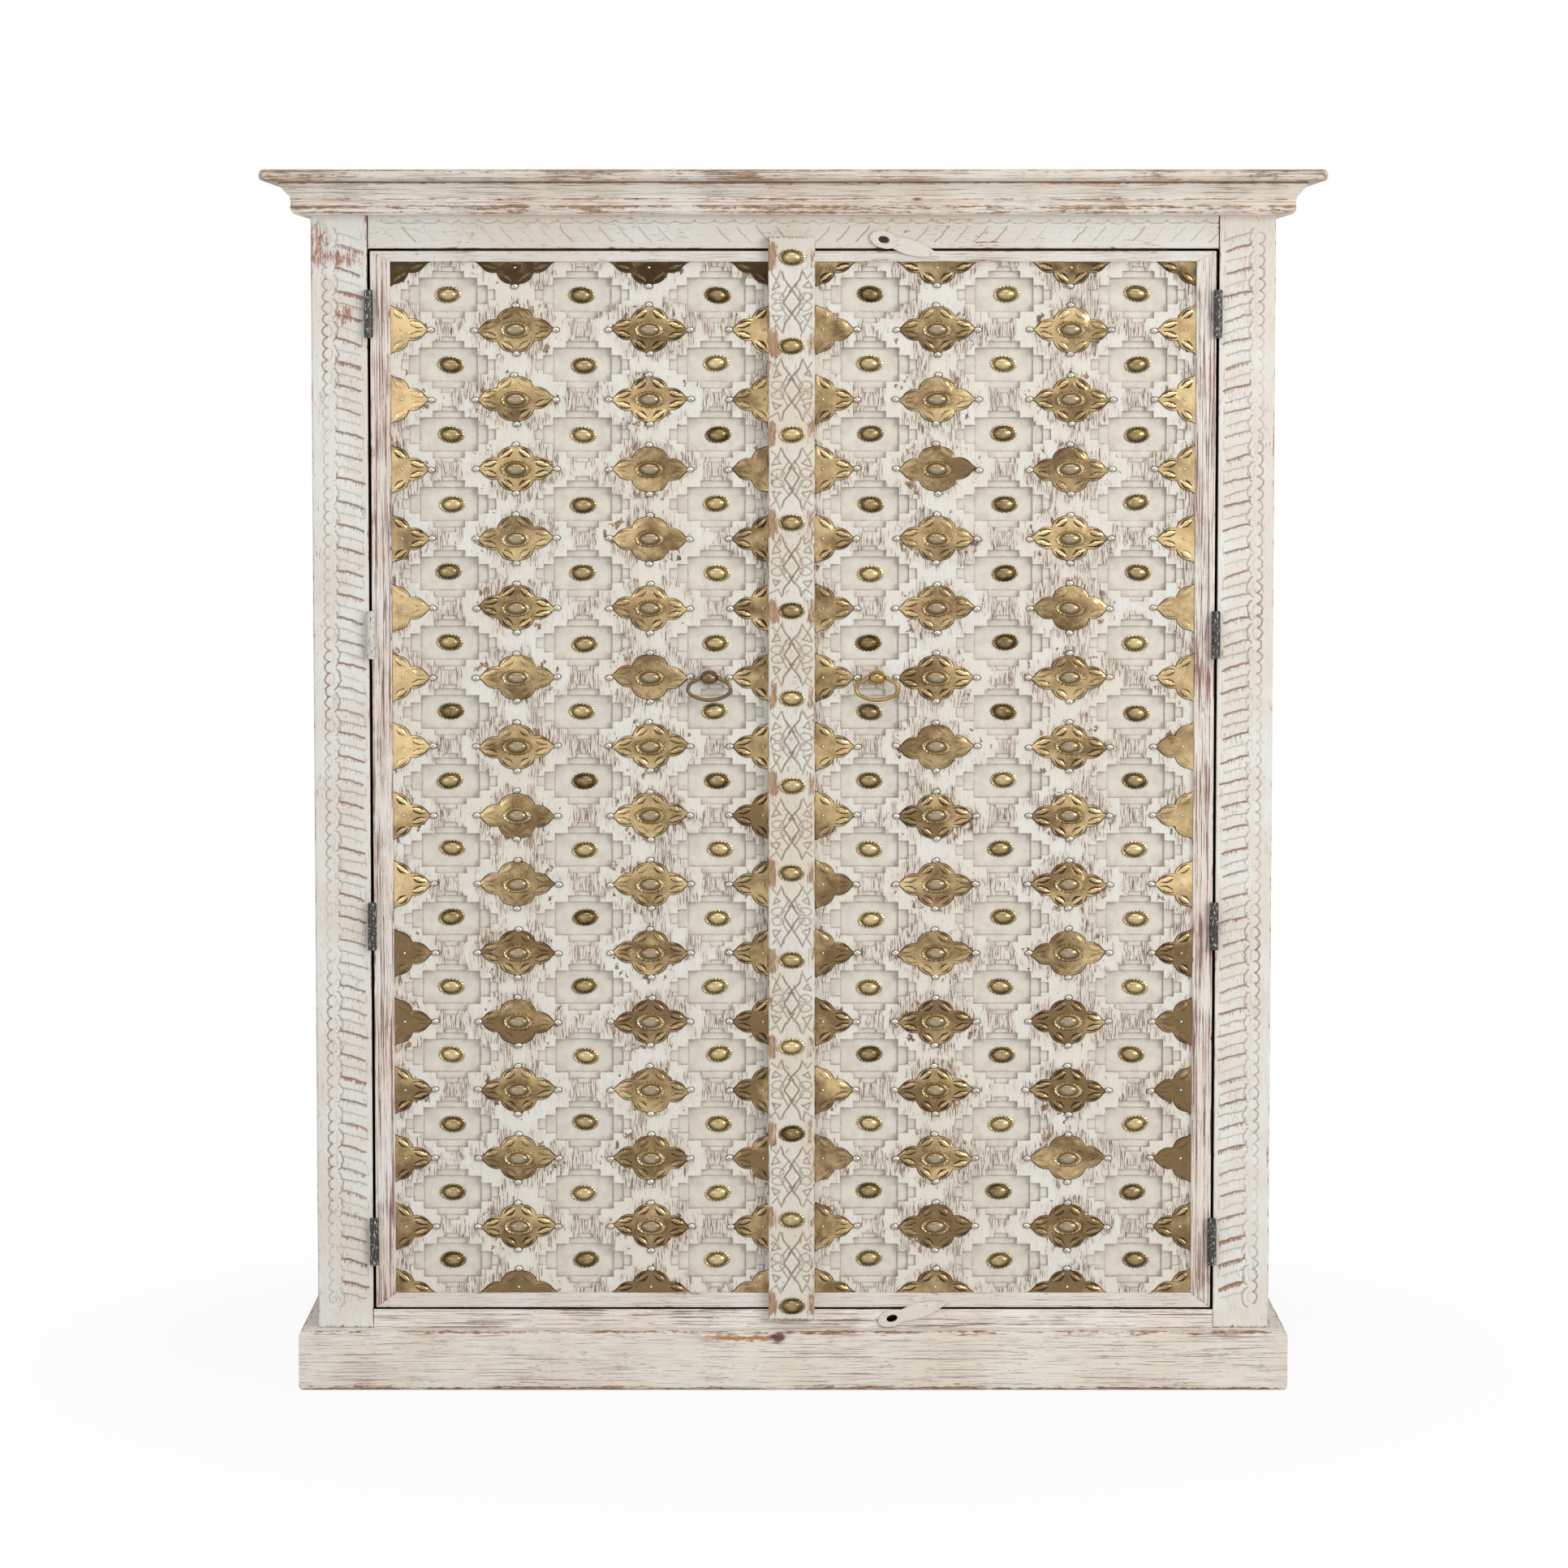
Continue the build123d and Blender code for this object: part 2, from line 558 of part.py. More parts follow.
# Each level of a cross: a wide bar and a tall one, cut deeper as they get smaller
pit_levels = (
    ((OUTER_ARM_WIDTH, OUTER_ARM_HEIGHT), (OUTER_NECK_WIDTH, OUTER_NECK_HEIGHT)),
    ((INNER_ARM_WIDTH, INNER_ARM_HEIGHT), (INNER_NECK_WIDTH, INNER_NECK_HEIGHT)),
    ((POCKET_WIDTH, POCKET_HEIGHT), (POCKET_WIDTH, POCKET_HEIGHT)),
)
with BuildPart() as door_panel:
    with BuildSketch(door_front(PANEL_RECESS)):
        with Locations((PANEL_X, PANEL_Z)):
            Rectangle(PANEL_WIDTH + 2 * PANEL_TONGUE, PANEL_HEIGHT + 2 * PANEL_TONGUE)
    extrude(amount=-PANEL_THICKNESS)
    for level, (bar, neck) in enumerate(pit_levels):
        with BuildSketch(door_front(PANEL_RECESS)):
            with Locations((PANEL_X, PANEL_Z)):
                with GridLocations(COLUMN_PITCH, ROW_PITCH, PIT_COLUMNS, PIT_ROWS):
                    Rectangle(*bar)
                    Rectangle(*neck)
        extrude(amount=-PIT_STEP * (level + 1), mode=Mode.SUBTRACT)
write_pair(door_panel, "door_panel")

# ---------------------------------------------------------------- studs, flowers and nails

# One rosette stud, standing on its back: a flange, a dome and a flat crown
with BuildPart() as stud:
    with BuildSketch(Plane.XY):
        Ellipse(STUD_RADIUS_X, STUD_RADIUS_Y)
    extrude(amount=STUD_FLANGE)
    with BuildSketch(Plane.XY.offset(STUD_FLANGE)):
        Ellipse(STUD_DOME_RADIUS_X, STUD_DOME_RADIUS_Y)
    extrude(amount=STUD_DOME_HEIGHT, taper=DOME_TAPER)

with BuildPart(door_front(PANEL_RECESS + PIT_DEPTH)) as door_rosettes:
    with Locations((PANEL_X, PANEL_Z)):
        with GridLocations(COLUMN_PITCH, ROW_PITCH, PIT_COLUMNS, PIT_ROWS):
            add(stud.part)
write_pair(door_rosettes, "door_rosettes")

# One flower, cut from sheet: four petals that swell from the notches and draw in to a tip
side_tip = (FLOWER_HALF_WIDTH, 0)
side_lobe = (SIDE_LOBE_X, SIDE_LOBE_Y)
notch = (FLOWER_NOTCH_X, FLOWER_NOTCH_Y)
top_lobe = (TOP_LOBE_X, TOP_LOBE_Y)
top_tip = (0, FLOWER_HALF_HEIGHT)
with BuildSketch() as flower:
    with BuildLine():
        Line((0, 0), side_tip)
        SagittaArc(side_tip, side_lobe, PETAL_TIP_DIP)
        SagittaArc(side_lobe, notch, -PETAL_BULGE)
        SagittaArc(notch, top_lobe, -PETAL_BULGE)
        SagittaArc(top_lobe, top_tip, PETAL_TIP_DIP)
        Line(top_tip, (0, 0))
    make_face()
    mirror(about=Plane.YZ)
    mirror(about=Plane.XZ)

side_flowers = [(x, PANEL_Z) for x in SIDE_FLOWER_XS]
end_flowers = [(PANEL_X, z) for z in (PANEL_FOOT, PANEL_HEAD)]
corner_flowers = [(x, z) for x in SIDE_FLOWER_XS for z in (PANEL_FOOT, PANEL_HEAD)]
with BuildPart() as door_flowers:
    with BuildSketch(door_front(PANEL_RECESS)):
        with Locations((PANEL_X, PANEL_Z)):
            with GridLocations(COLUMN_PITCH, ROW_PITCH, FLOWER_COLUMNS, FLOWER_ROWS):
                add(flower.sketch)
        with Locations(*side_flowers):
            with GridLocations(1, ROW_PITCH, 1, FLOWER_ROWS):
                add(flower.sketch)
        with Locations(*end_flowers):
            with GridLocations(COLUMN_PITCH, 1, FLOWER_COLUMNS, 1):
                add(flower.sketch)
        with Locations(*corner_flowers):
            add(flower.sketch)
        with Locations((PANEL_X, PANEL_Z)):
            Rectangle(PANEL_WIDTH - 2 * FLOWER_TRIM, PANEL_HEIGHT - 2 * FLOWER_TRIM, mode=Mode.INTERSECT)
    extrude(amount=SHEET_THICKNESS)
write_pair(door_flowers, "door_flowers")

# A boss in the middle of each whole flower, and a pin in each half
with BuildPart() as boss:
    with BuildSketch(Plane.XY):
        Ellipse(BOSS_RADIUS_X, BOSS_RADIUS_Y)
    extrude(amount=BOSS_RIM)
    with BuildSketch(Plane.XY.offset(BOSS_RIM)):
        Ellipse(BOSS_DOME_RADIUS_X, BOSS_DOME_RADIUS_Y)
    extrude(amount=BOSS_DOME_HEIGHT, taper=DOME_TAPER)

side_pins = [(PANEL_INNER_X + SIDE_PIN_INSET, PANEL_Z), (PANEL_OUTER_X - SIDE_PIN_INSET, PANEL_Z)]
end_pins = [(PANEL_X, PANEL_FOOT + TOP_PIN_INSET), (PANEL_X, PANEL_HEAD - TOP_PIN_INSET)]
with BuildPart(door_front(PANEL_RECESS - SHEET_THICKNESS)) as door_flower_bosses:
    with Locations((PANEL_X, PANEL_Z)):
        with GridLocations(COLUMN_PITCH, ROW_PITCH, FLOWER_COLUMNS, FLOWER_ROWS):
            add(boss.part)
    with BuildSketch(door_front(PANEL_RECESS - SHEET_THICKNESS)):
        with Locations(*side_pins):
            with GridLocations(1, ROW_PITCH, 1, FLOWER_ROWS):
                Circle(PIN_HEAD_RADIUS)
        with Locations(*end_pins):
            with GridLocations(COLUMN_PITCH, 1, FLOWER_COLUMNS, 1):
                Circle(PIN_HEAD_RADIUS)
    extrude(amount=PIN_HEAD_HEIGHT)
write_pair(door_flower_bosses, "door_flower_bosses")

# Domed nails just past the petals' tips, with the heads lapping over them
with BuildPart() as nail:
    with BuildSketch(Plane.XY):
        Circle(NAIL_SHANK_RADIUS)
    extrude(amount=SHEET_THICKNESS)
    with BuildSketch(Plane.XY.offset(SHEET_THICKNESS)):
        Ellipse(NAIL_RADIUS_X, NAIL_RADIUS_Y)
    extrude(amount=NAIL_HEIGHT, taper=DOME_TAPER)

side_nails = [(SIDE_FLOWER_XS[0] + NAIL_OFFSET_X, PANEL_Z), (SIDE_FLOWER_XS[1] - NAIL_OFFSET_X, PANEL_Z)]
end_nails = [(PANEL_X, PANEL_FOOT + NAIL_OFFSET_Y), (PANEL_X, PANEL_HEAD - NAIL_OFFSET_Y)]
with BuildPart(door_front(PANEL_RECESS)) as door_nails:
    with Locations(
        (PANEL_X - NAIL_OFFSET_X, PANEL_Z),
        (PANEL_X + NAIL_OFFSET_X, PANEL_Z),
        (PANEL_X, PANEL_Z - NAIL_OFFSET_Y),
        (PANEL_X, PANEL_Z + NAIL_OFFSET_Y),
    ):
        with GridLocations(COLUMN_PITCH, ROW_PITCH, FLOWER_COLUMNS, FLOWER_ROWS):
            add(nail.part)
    with Locations(*side_nails):
        with GridLocations(1, ROW_PITCH, 1, FLOWER_ROWS):
            add(nail.part)
    with Locations(*end_nails):
        with GridLocations(COLUMN_PITCH, 1, FLOWER_COLUMNS, 1):
            add(nail.part)
write_pair(door_nails, "door_nails")

# ---------------------------------------------------------------- astragal

with BuildPart() as astragal:
    with BuildSketch(door_front(0)):
        astragal_edges = (ASTRAGAL_X - ASTRAGAL_WIDTH / 2, ASTRAGAL_X + ASTRAGAL_WIDTH / 2)
        span(astragal_edges, (ASTRAGAL_FOOT, ASTRAGAL_HEAD))
    extrude(amount=ASTRAGAL_THICKNESS)
    chamfer(astragal.faces().sort_by(Axis.Y)[0].edges(), ASTRAGAL_CHAMFER)
write(astragal, "astragal")

first_stud = ASTRAGAL_HEAD - ASTRAGAL_TOP_MARGIN
last_stud = ASTRAGAL_FOOT + ASTRAGAL_BOTTOM_MARGIN
with BuildPart(door_front(-ASTRAGAL_THICKNESS)) as astragal_rosettes:
    with Locations((ASTRAGAL_X, (first_stud + last_stud) / 2)):
        with GridLocations(1, (first_stud - last_stud) / (ASTRAGAL_STUD_COUNT - 1), 1, ASTRAGAL_STUD_COUNT):
            add(stud.part)
write(astragal_rosettes, "astragal_rosettes")

# ---------------------------------------------------------------- hinges

# The frame leaf has the end knuckles and the door leaf the one between them. A leaf lies
# in the gap beside the door, and its root runs forward into its own knuckles only.
frame_leaf_x = (OPENING_HALF_WIDTH - LEAF_THICKNESS, OPENING_HALF_WIDTH)
door_leaf_x = (DOOR_OUTER_X, DOOR_OUTER_X + LEAF_THICKNESS)
leaf_y = (FACE_Y, FACE_Y + LEAF_DEPTH)
root_y = (LEAF_ROOT_Y, FACE_Y)
for leaf_name, leaf_x, knuckles in (
    ("hinge_frame_leaves", frame_leaf_x, range(0, KNUCKLE_COUNT, 2)),
    ("hinge_door_leaves", door_leaf_x, range(1, KNUCKLE_COUNT, 2)),
):
    with BuildPart() as leaves:
        for hinge_z in HINGE_ZS:
            hinge_foot = hinge_z - HINGE_HEIGHT / 2
            with BuildSketch(Plane.XY.offset(hinge_foot)):
                span(leaf_x, leaf_y)
            extrude(amount=HINGE_HEIGHT)
            for knuckle in knuckles:
                with BuildSketch(Plane.XY.offset(hinge_foot + knuckle * KNUCKLE_PITCH + KNUCKLE_CLEARANCE / 2)):
                    span(leaf_x, root_y)
                    with Locations((HINGE_X, HINGE_Y)):
                        Circle(KNUCKLE_RADIUS)
                extrude(amount=KNUCKLE_HEIGHT)
            with BuildSketch(Plane.XY.offset(hinge_foot)):
                with Locations((HINGE_X, HINGE_Y)):
                    Circle(HINGE_PIN_RADIUS + HINGE_PIN_CLEARANCE)
            extrude(amount=HINGE_HEIGHT, mode=Mode.SUBTRACT)
            with BuildSketch(Plane.YZ.offset(leaf_x[0])):
                with Locations((FACE_Y + LEAF_DEPTH / 2, hinge_z)):
                    with GridLocations(1, SCREW_PITCH, 1, SCREWS_PER_LEAF):
                        Circle(SCREW_HEAD_RADIUS + SCREW_CLEARANCE)
            extrude(amount=LEAF_THICKNESS, mode=Mode.SUBTRACT)
    write_pair(leaves, leaf_name)

with BuildPart() as hinge_pins:
    for hinge_z in HINGE_ZS:
        with BuildSketch(Plane.XY.offset(hinge_z - HINGE_HEIGHT / 2)):
            with Locations((HINGE_X, HINGE_Y)):
                Circle(HINGE_PIN_RADIUS)
        extrude(amount=HINGE_HEIGHT)
        with BuildSketch(Plane.XY.offset(hinge_z + HINGE_HEIGHT / 2)):
            with Locations((HINGE_X, HINGE_Y)):
                Circle(KNUCKLE_RADIUS - KNUCKLE_CLEARANCE)
        extrude(amount=HINGE_PIN_HEAD)
write_pair(hinge_pins, "hinge_pins")

# Each screw's head fills its hole in the leaf, and its shank goes on into the wood
for screw_name, screw_x, side in (
    ("hinge_frame_screws", OPENING_HALF_WIDTH, 1),
    ("hinge_door_screws", DOOR_OUTER_X, -1),
):
    with BuildPart() as hinge_screws:
        for hinge_z in HINGE_ZS:
            for radius, reach in (
                (SCREW_HEAD_RADIUS, -LEAF_THICKNESS),
                (SCREW_SHANK_RADIUS, SCREW_LENGTH - SCREW_CLEARANCE),
            ):
                with BuildSketch(Plane.YZ.offset(screw_x)):
                    with Locations((FACE_Y + LEAF_DEPTH / 2, hinge_z)):
                        with GridLocations(1, SCREW_PITCH, 1, SCREWS_PER_LEAF):
                            Circle(radius)
                extrude(amount=side * reach)
    write_pair(hinge_screws, screw_name)

# ---------------------------------------------------------------- ring pulls

PULL_AXIS_Y = FACE_Y - DOOR_PROUD + PANEL_RECESS - PULL_STANDOFF
pull_plane = Plane(origin=(PULL_X, PULL_AXIS_Y, PULL_Z), x_dir=RIGHT, z_dir=OUTWARD)
pull_axis = Axis((PULL_X, PULL_AXIS_Y, PULL_Z), RIGHT)
stub_end_x = BARREL_HALF_LENGTH - RING_STUB_DEPTH
with BuildPart() as ring_post:
    with BuildSketch(door_front(PANEL_RECESS)):
        with Locations((PULL_X, PULL_Z)):
            Ellipse(ROSE_RADIUS_X, ROSE_RADIUS_Y)
    extrude(amount=ROSE_THICKNESS)
    with BuildSketch(door_front(PANEL_RECESS)):
        with Locations((PULL_X, PULL_Z)):
            Circle(STEM_RADIUS)
    extrude(amount=PULL_STANDOFF)
    with BuildSketch(pull_plane):
        with BuildLine():
            ThreePointArc(
                (-BARREL_HALF_LENGTH, BARREL_END_RADIUS),
                (0, BARREL_RADIUS),
                (BARREL_HALF_LENGTH, BARREL_END_RADIUS),
            )
            Line((BARREL_HALF_LENGTH, BARREL_END_RADIUS), (BARREL_HALF_LENGTH, 0))
            Line((BARREL_HALF_LENGTH, 0), (-BARREL_HALF_LENGTH, 0))
            Line((-BARREL_HALF_LENGTH, 0), (-BARREL_HALF_LENGTH, BARREL_END_RADIUS))
        make_face()
    revolve(axis=pull_axis)
    # A blind hole in each end of the barrel, for the ring's ends
    for side in (-1, 1):
        with BuildSketch(Plane.YZ.offset(PULL_X + side * BARREL_HALF_LENGTH)):
            with Locations((PULL_AXIS_Y, PULL_Z)):
                Circle(RING_STUB_RADIUS + RING_CLEARANCE)
        extrude(amount=-side * (RING_STUB_DEPTH + RING_CLEARANCE), mode=Mode.SUBTRACT)
write_pair(ring_post, "ring_post")

# The ring's centre line hangs from the pivot: a four-centred oval, open at the top. The
# big arcs' centres lie on the oval's short axis, at the height that makes them tangent
# to the small arcs of its ends.
end_centre_x = RING_HALF_WIDTH - RING_END_RADIUS
slack = RING_HALF_HEIGHT - RING_END_RADIUS
big_centre = (end_centre_x**2 - slack**2) / (2 * slack)
big_radius = RING_HALF_HEIGHT + big_centre
tangent_x = end_centre_x * big_radius / (big_radius - RING_END_RADIUS)
tangent_y = big_centre * RING_END_RADIUS / (big_radius - RING_END_RADIUS)
collar_x = BARREL_HALF_LENGTH + RING_CLEARANCE + RING_COLLAR_RADIUS
collar_y = -RING_HALF_HEIGHT - big_centre + sqrt(big_radius**2 - collar_x**2)
shoulder_x = (collar_x + tangent_x) / 2
shoulder_y = -RING_HALF_HEIGHT - big_centre + sqrt(big_radius**2 - shoulder_x**2)
with BuildPart() as ring:
    with BuildLine(pull_plane) as ring_line:
        ThreePointArc(
            (-collar_x, collar_y),
            (-shoulder_x, shoulder_y),
            (-tangent_x, tangent_y - RING_HALF_HEIGHT),
        )
        ThreePointArc(
            (-tangent_x, tangent_y - RING_HALF_HEIGHT),
            (-RING_HALF_WIDTH, -RING_HALF_HEIGHT),
            (-tangent_x, -tangent_y - RING_HALF_HEIGHT),
        )
        ThreePointArc(
            (-tangent_x, -tangent_y - RING_HALF_HEIGHT),
            (0, -2 * RING_HALF_HEIGHT),
            (tangent_x, -tangent_y - RING_HALF_HEIGHT),
        )
        ThreePointArc(
            (tangent_x, -tangent_y - RING_HALF_HEIGHT),
            (RING_HALF_WIDTH, -RING_HALF_HEIGHT),
            (tangent_x, tangent_y - RING_HALF_HEIGHT),
        )
        ThreePointArc(
            (tangent_x, tangent_y - RING_HALF_HEIGHT),
            (shoulder_x, shoulder_y),
            (collar_x, collar_y),
        )
    with BuildSketch(Plane(origin=ring_line.wire() @ 0, z_dir=ring_line.wire() % 0)):
        Circle(RING_WIRE_RADIUS)
    sweep()
    with Locations((PULL_X - collar_x, PULL_AXIS_Y, PULL_Z), (PULL_X + collar_x, PULL_AXIS_Y, PULL_Z)):
        Sphere(RING_COLLAR_RADIUS)
    for side in (-1, 1):
        with BuildSketch(Plane.YZ.offset(PULL_X + side * stub_end_x)):
            with Locations((PULL_AXIS_Y, PULL_Z)):
                Circle(RING_STUB_RADIUS)
        extrude(amount=side * (collar_x - stub_end_x))
write_pair(ring, "ring")

# ---------------------------------------------------------------- hasps

# A hasp's outline with its nail hole at the origin and its eye to the left: an oval eye
# and a leaf that runs on from it, past the nail, to a tip.
leaf_start = (-HASP_REACH - HASP_NECK_OVERLAP, 0)
leaf_tip = (HASP_TIP, 0)
with BuildSketch() as hasp_outline:
    with BuildLine():
        SagittaArc(leaf_start, leaf_tip, HASP_BELLY)
        SagittaArc(leaf_tip, leaf_start, HASP_BELLY)
    make_face()
    with Locations((-HASP_REACH, 0)):
        Ellipse(EYE_RADIUS_X, EYE_RADIUS_Y)
        Ellipse(EYE_HOLE_RADIUS_X, EYE_HOLE_RADIUS_Y, mode=Mode.SUBTRACT)
    Circle(HASP_NAIL_RADIUS + HASP_CLEARANCE, mode=Mode.SUBTRACT)

for hasp_name, hasp_x, hasp_z, tilt in (
    ("upper_hasp", UPPER_HASP_X, UPPER_HASP_Z, -HASP_TILT),
    ("lower_hasp", LOWER_HASP_X, LOWER_HASP_Z, HASP_TILT),
):
    with BuildPart() as hasp:
        with BuildSketch(door_front(0)):
            with Locations(Location((hasp_x, hasp_z, 0), (0, 0, tilt))):
                add(hasp_outline.sketch)
        extrude(amount=HASP_THICKNESS)
    write(hasp, hasp_name)

with BuildPart() as hasp_nails:
    hasp_places = [(UPPER_HASP_X, UPPER_HASP_Z), (LOWER_HASP_X, LOWER_HASP_Z)]
    with BuildSketch(door_front(HASP_NAIL_BITE - SCREW_CLEARANCE)):
        with Locations(*hasp_places):
            Circle(HASP_NAIL_RADIUS)
    extrude(amount=HASP_NAIL_BITE - SCREW_CLEARANCE + HASP_THICKNESS + HASP_HEAD_GAP)
    with BuildSketch(door_front(-HASP_THICKNESS - HASP_HEAD_GAP)):
        with Locations(*hasp_places):
            Circle(HASP_NAIL_HEAD_RADIUS)
    extrude(amount=HASP_NAIL_HEAD_HEIGHT)
write(hasp_nails, "hasp_nails")
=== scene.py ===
import functools
import math
import random

import bmesh
import bpy
import numpy as np
from mathutils import Matrix, Vector


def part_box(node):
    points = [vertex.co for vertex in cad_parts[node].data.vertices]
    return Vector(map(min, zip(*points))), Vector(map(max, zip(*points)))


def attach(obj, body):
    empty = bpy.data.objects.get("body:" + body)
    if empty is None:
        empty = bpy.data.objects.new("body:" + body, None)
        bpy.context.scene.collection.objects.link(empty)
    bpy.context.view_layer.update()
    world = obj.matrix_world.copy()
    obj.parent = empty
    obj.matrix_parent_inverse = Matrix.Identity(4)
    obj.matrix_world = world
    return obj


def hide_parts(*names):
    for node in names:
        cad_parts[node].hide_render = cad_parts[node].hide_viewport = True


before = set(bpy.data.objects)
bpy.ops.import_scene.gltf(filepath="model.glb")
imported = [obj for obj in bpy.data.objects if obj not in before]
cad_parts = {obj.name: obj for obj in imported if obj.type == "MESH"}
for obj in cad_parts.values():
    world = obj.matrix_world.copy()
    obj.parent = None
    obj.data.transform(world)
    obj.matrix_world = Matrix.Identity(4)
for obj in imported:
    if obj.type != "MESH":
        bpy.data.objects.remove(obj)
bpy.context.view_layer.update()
MM = 0.001
CHANCE = random.Random(7)
SMOOTH = {"interpolation_type": "SMOOTHSTEP"}
# A Mix node of colours takes its share at socket 0 and its colours at 6 and 7, and gives its result at 2
MIX = {"out": 2, "data_type": "RGBA"}


# ---------------------------------------------------------------- places and sizes, in millimetres

def node_box(node):
    """A CAD node's lowest and highest corners."""
    low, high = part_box(node)
    return Vector(low) / MM, Vector(high) / MM


STILE_LOW, STILE_HIGH = node_box("right_stile")
HALF_WIDTH = STILE_HIGH.x
FACE_Y = STILE_LOW.y
BACK_Y = node_box("right_side_panel")[1].y
BACK_LOW, BACK_HIGH = node_box("back_boards")
BACK_BOARD_COUNT = 5
PLINTH_HIGH = node_box("plinth_front")[1]
CORNICE_LOW, CORNICE_HIGH = node_box("cornice_front")
TOP_LOW, TOP_HIGH = node_box("top_board")
RAIL_LOW, RAIL_HIGH = node_box("top_rail")
ASTRAGAL_LOW, ASTRAGAL_HIGH = node_box("astragal")
ASTRAGAL_X = (ASTRAGAL_LOW.x + ASTRAGAL_HIGH.x) / 2

PANEL_TONGUE = 5.0
PANEL_LOW, PANEL_HIGH = node_box("right_door_panel")
PANEL_FACE = PANEL_LOW.y
PANEL_INNER_X = PANEL_LOW.x + PANEL_TONGUE
PANEL_OUTER_X = PANEL_HIGH.x - PANEL_TONGUE
PANEL_FOOT = PANEL_LOW.z + PANEL_TONGUE
PANEL_HEAD = PANEL_HIGH.z - PANEL_TONGUE
PANEL_X = (PANEL_INNER_X + PANEL_OUTER_X) / 2
PANEL_Z = (PANEL_FOOT + PANEL_HEAD) / 2
PIT_COLUMNS = 3
PIT_ROWS = 15
PIT_COLUMN_MARGIN = 70.5
PIT_ROW_MARGIN = 40.0
COLUMN_PITCH = (PANEL_OUTER_X - PANEL_INNER_X - 2 * PIT_COLUMN_MARGIN) / (PIT_COLUMNS - 1)
ROW_PITCH = (PANEL_HEAD - PANEL_FOOT - 2 * PIT_ROW_MARGIN) / (PIT_ROWS - 1)
PIT_DEPTH = 8.4
PIT_LEVELS = (
    # the bar and the neck of each level of a stepped cross
    ((115.0, 12.5), (17.0, 68.0)),
    ((96.0, 22.5), (38.5, 57.0)),
    ((71.0, 41.0), (71.0, 41.0)),
)
# from a cross's middle to the dry strip just past the ends of its bar
STRIP_X = 61.0
# the band round each door that its gaps lie in
GAP_OUTER_X = PANEL_OUTER_X + 11.0
GAP_INNER_X = 15.0
GAP_HEAD = PANEL_HEAD + 7.0
GAP_FOOT = PANEL_FOOT - 9.0
GAP_END_X = STILE_LOW.x + 8.0
GAP_TOP = RAIL_HIGH.z - 1.0

# the brass sheet's thickness, and how far the half flowers beside the astragal stand in
SHEET_LIFT = 1.2
INNER_FLOWER_INSET = 5.0
FLOWER_HALF = (49.5, 30.5)
FLOWER_TURNS = (
    # where each curve of a petal ends, from the side tip to the top tip, and how far it bows out
    ((40.0, 7.8), -0.8),
    ((22.5, 13.3), 2.4),
    ((9.5, 26.6), 2.6),
    ((0.0, 30.5), -0.9),
)
FLOWER_RINGS = (1.0, 0.975, 0.94, 0.9, 0.86, 0.81, 0.76, 0.71, 0.66, 0.61, 0.56, 0.5, 0.44, 0.36, 0.25)
LEAF_MARKS = (
    # middle, half length, half width and turn of the leaf beaten into each quarter of a petal
    ((31.5, 6.4), 9.0, 2.9, -20.0),
    ((10.5, 19.0), 8.5, 3.1, -34.0),
)
# across and up: nails from a flower's middle, pins from the panel's edges, bare paint round a flower
TIP_NAILS = (49.8, 29.8)
PIN_INSETS = (13.0, 7.0)
BARE_REACH = (49.0, 31.0)
BOSS_HALF = (18.5, 11.0)

STUD_COUNT = 13
STUD_LOW, STUD_HIGH = node_box("astragal_rosettes")
# a stud's half height
STUD_TOP = 10.0
STUD_PITCH = (STUD_HIGH.z - STUD_LOW.z - 2 * STUD_TOP) / (STUD_COUNT - 1)
STUD_ZS = [STUD_HIGH.z - STUD_TOP - i * STUD_PITCH for i in range(STUD_COUNT)]

# middle, half width, half height and depth of the upper peg hole
UPPER_PEG = (110.4, 1416.6, 6.6, 4.2, 14.0)
# the bottom rail's peg hole, the knot in the plinth, and the hinge that is painted over
LOWER_PEG_X = 122.4
LOWER_PEG_FLOOR = FACE_Y + 16.5
KNOT_X = -19.0
KNOT_Z = 66.0
PAINTED_HINGE_Z = 933.0
HINGE_REACH = 35.0
LEFT_HINGES_X = -300.0


# ---------------------------------------------------------------- finishes

def srgb(code):
    """A linear colour from an sRGB hex code."""
    parts = [int(code[i:i + 2], 16) / 255 for i in (1, 3, 5)]
    return [p / 12.92 if p <= 0.04045 else ((p + 0.055) / 1.055) ** 2.4 for p in parts] + [1.0]


def add_node(tree, kind, *inputs, out=0, **settings):
    """Adds a node with its settings, sets or links its inputs, and returns one of its outputs."""
    node = tree.nodes.new("ShaderNode" + kind)
    for key, value in settings.items():
        setattr(node, key, value)
    given = inputs[0] if inputs and isinstance(inputs[0], dict) else dict(enumerate(inputs))
    for key, value in given.items():
        if isinstance(value, bpy.types.NodeSocket):
            tree.links.new(value, node.inputs[key])
        else:
            node.inputs[key].default_value = srgb(value) if isinstance(value, str) else value
    return node.outputs[out]


def new_finish(name):
    """A material, what adds nodes to it, and the place on the object in millimetres."""
    material = bpy.data.materials.new(name)
    material.use_nodes = True
    add = functools.partial(add_node, material.node_tree)
    place = add("TexCoord", out="Object")
    return material, add, add("VectorMath", {0: place, "Scale": 1 / MM}, operation="SCALE")


def finish_with(material, color, roughness, height, **sockets):
    """Gives a material's shader its colour, roughness and relief in millimetres."""
    tree = material.node_tree
    shader = tree.nodes["Principled BSDF"]
    relief = add_node(tree, "Bump", {"Height": height, "Distance": MM, "Strength": 1.0})
    for key, value in {"Base Color": color, "Roughness": roughness, "Normal": relief, **sockets}.items():
        if isinstance(value, bpy.types.NodeSocket):
            tree.links.new(value, shader.inputs[key])
        else:
            shader.inputs[key].default_value = value
    return material


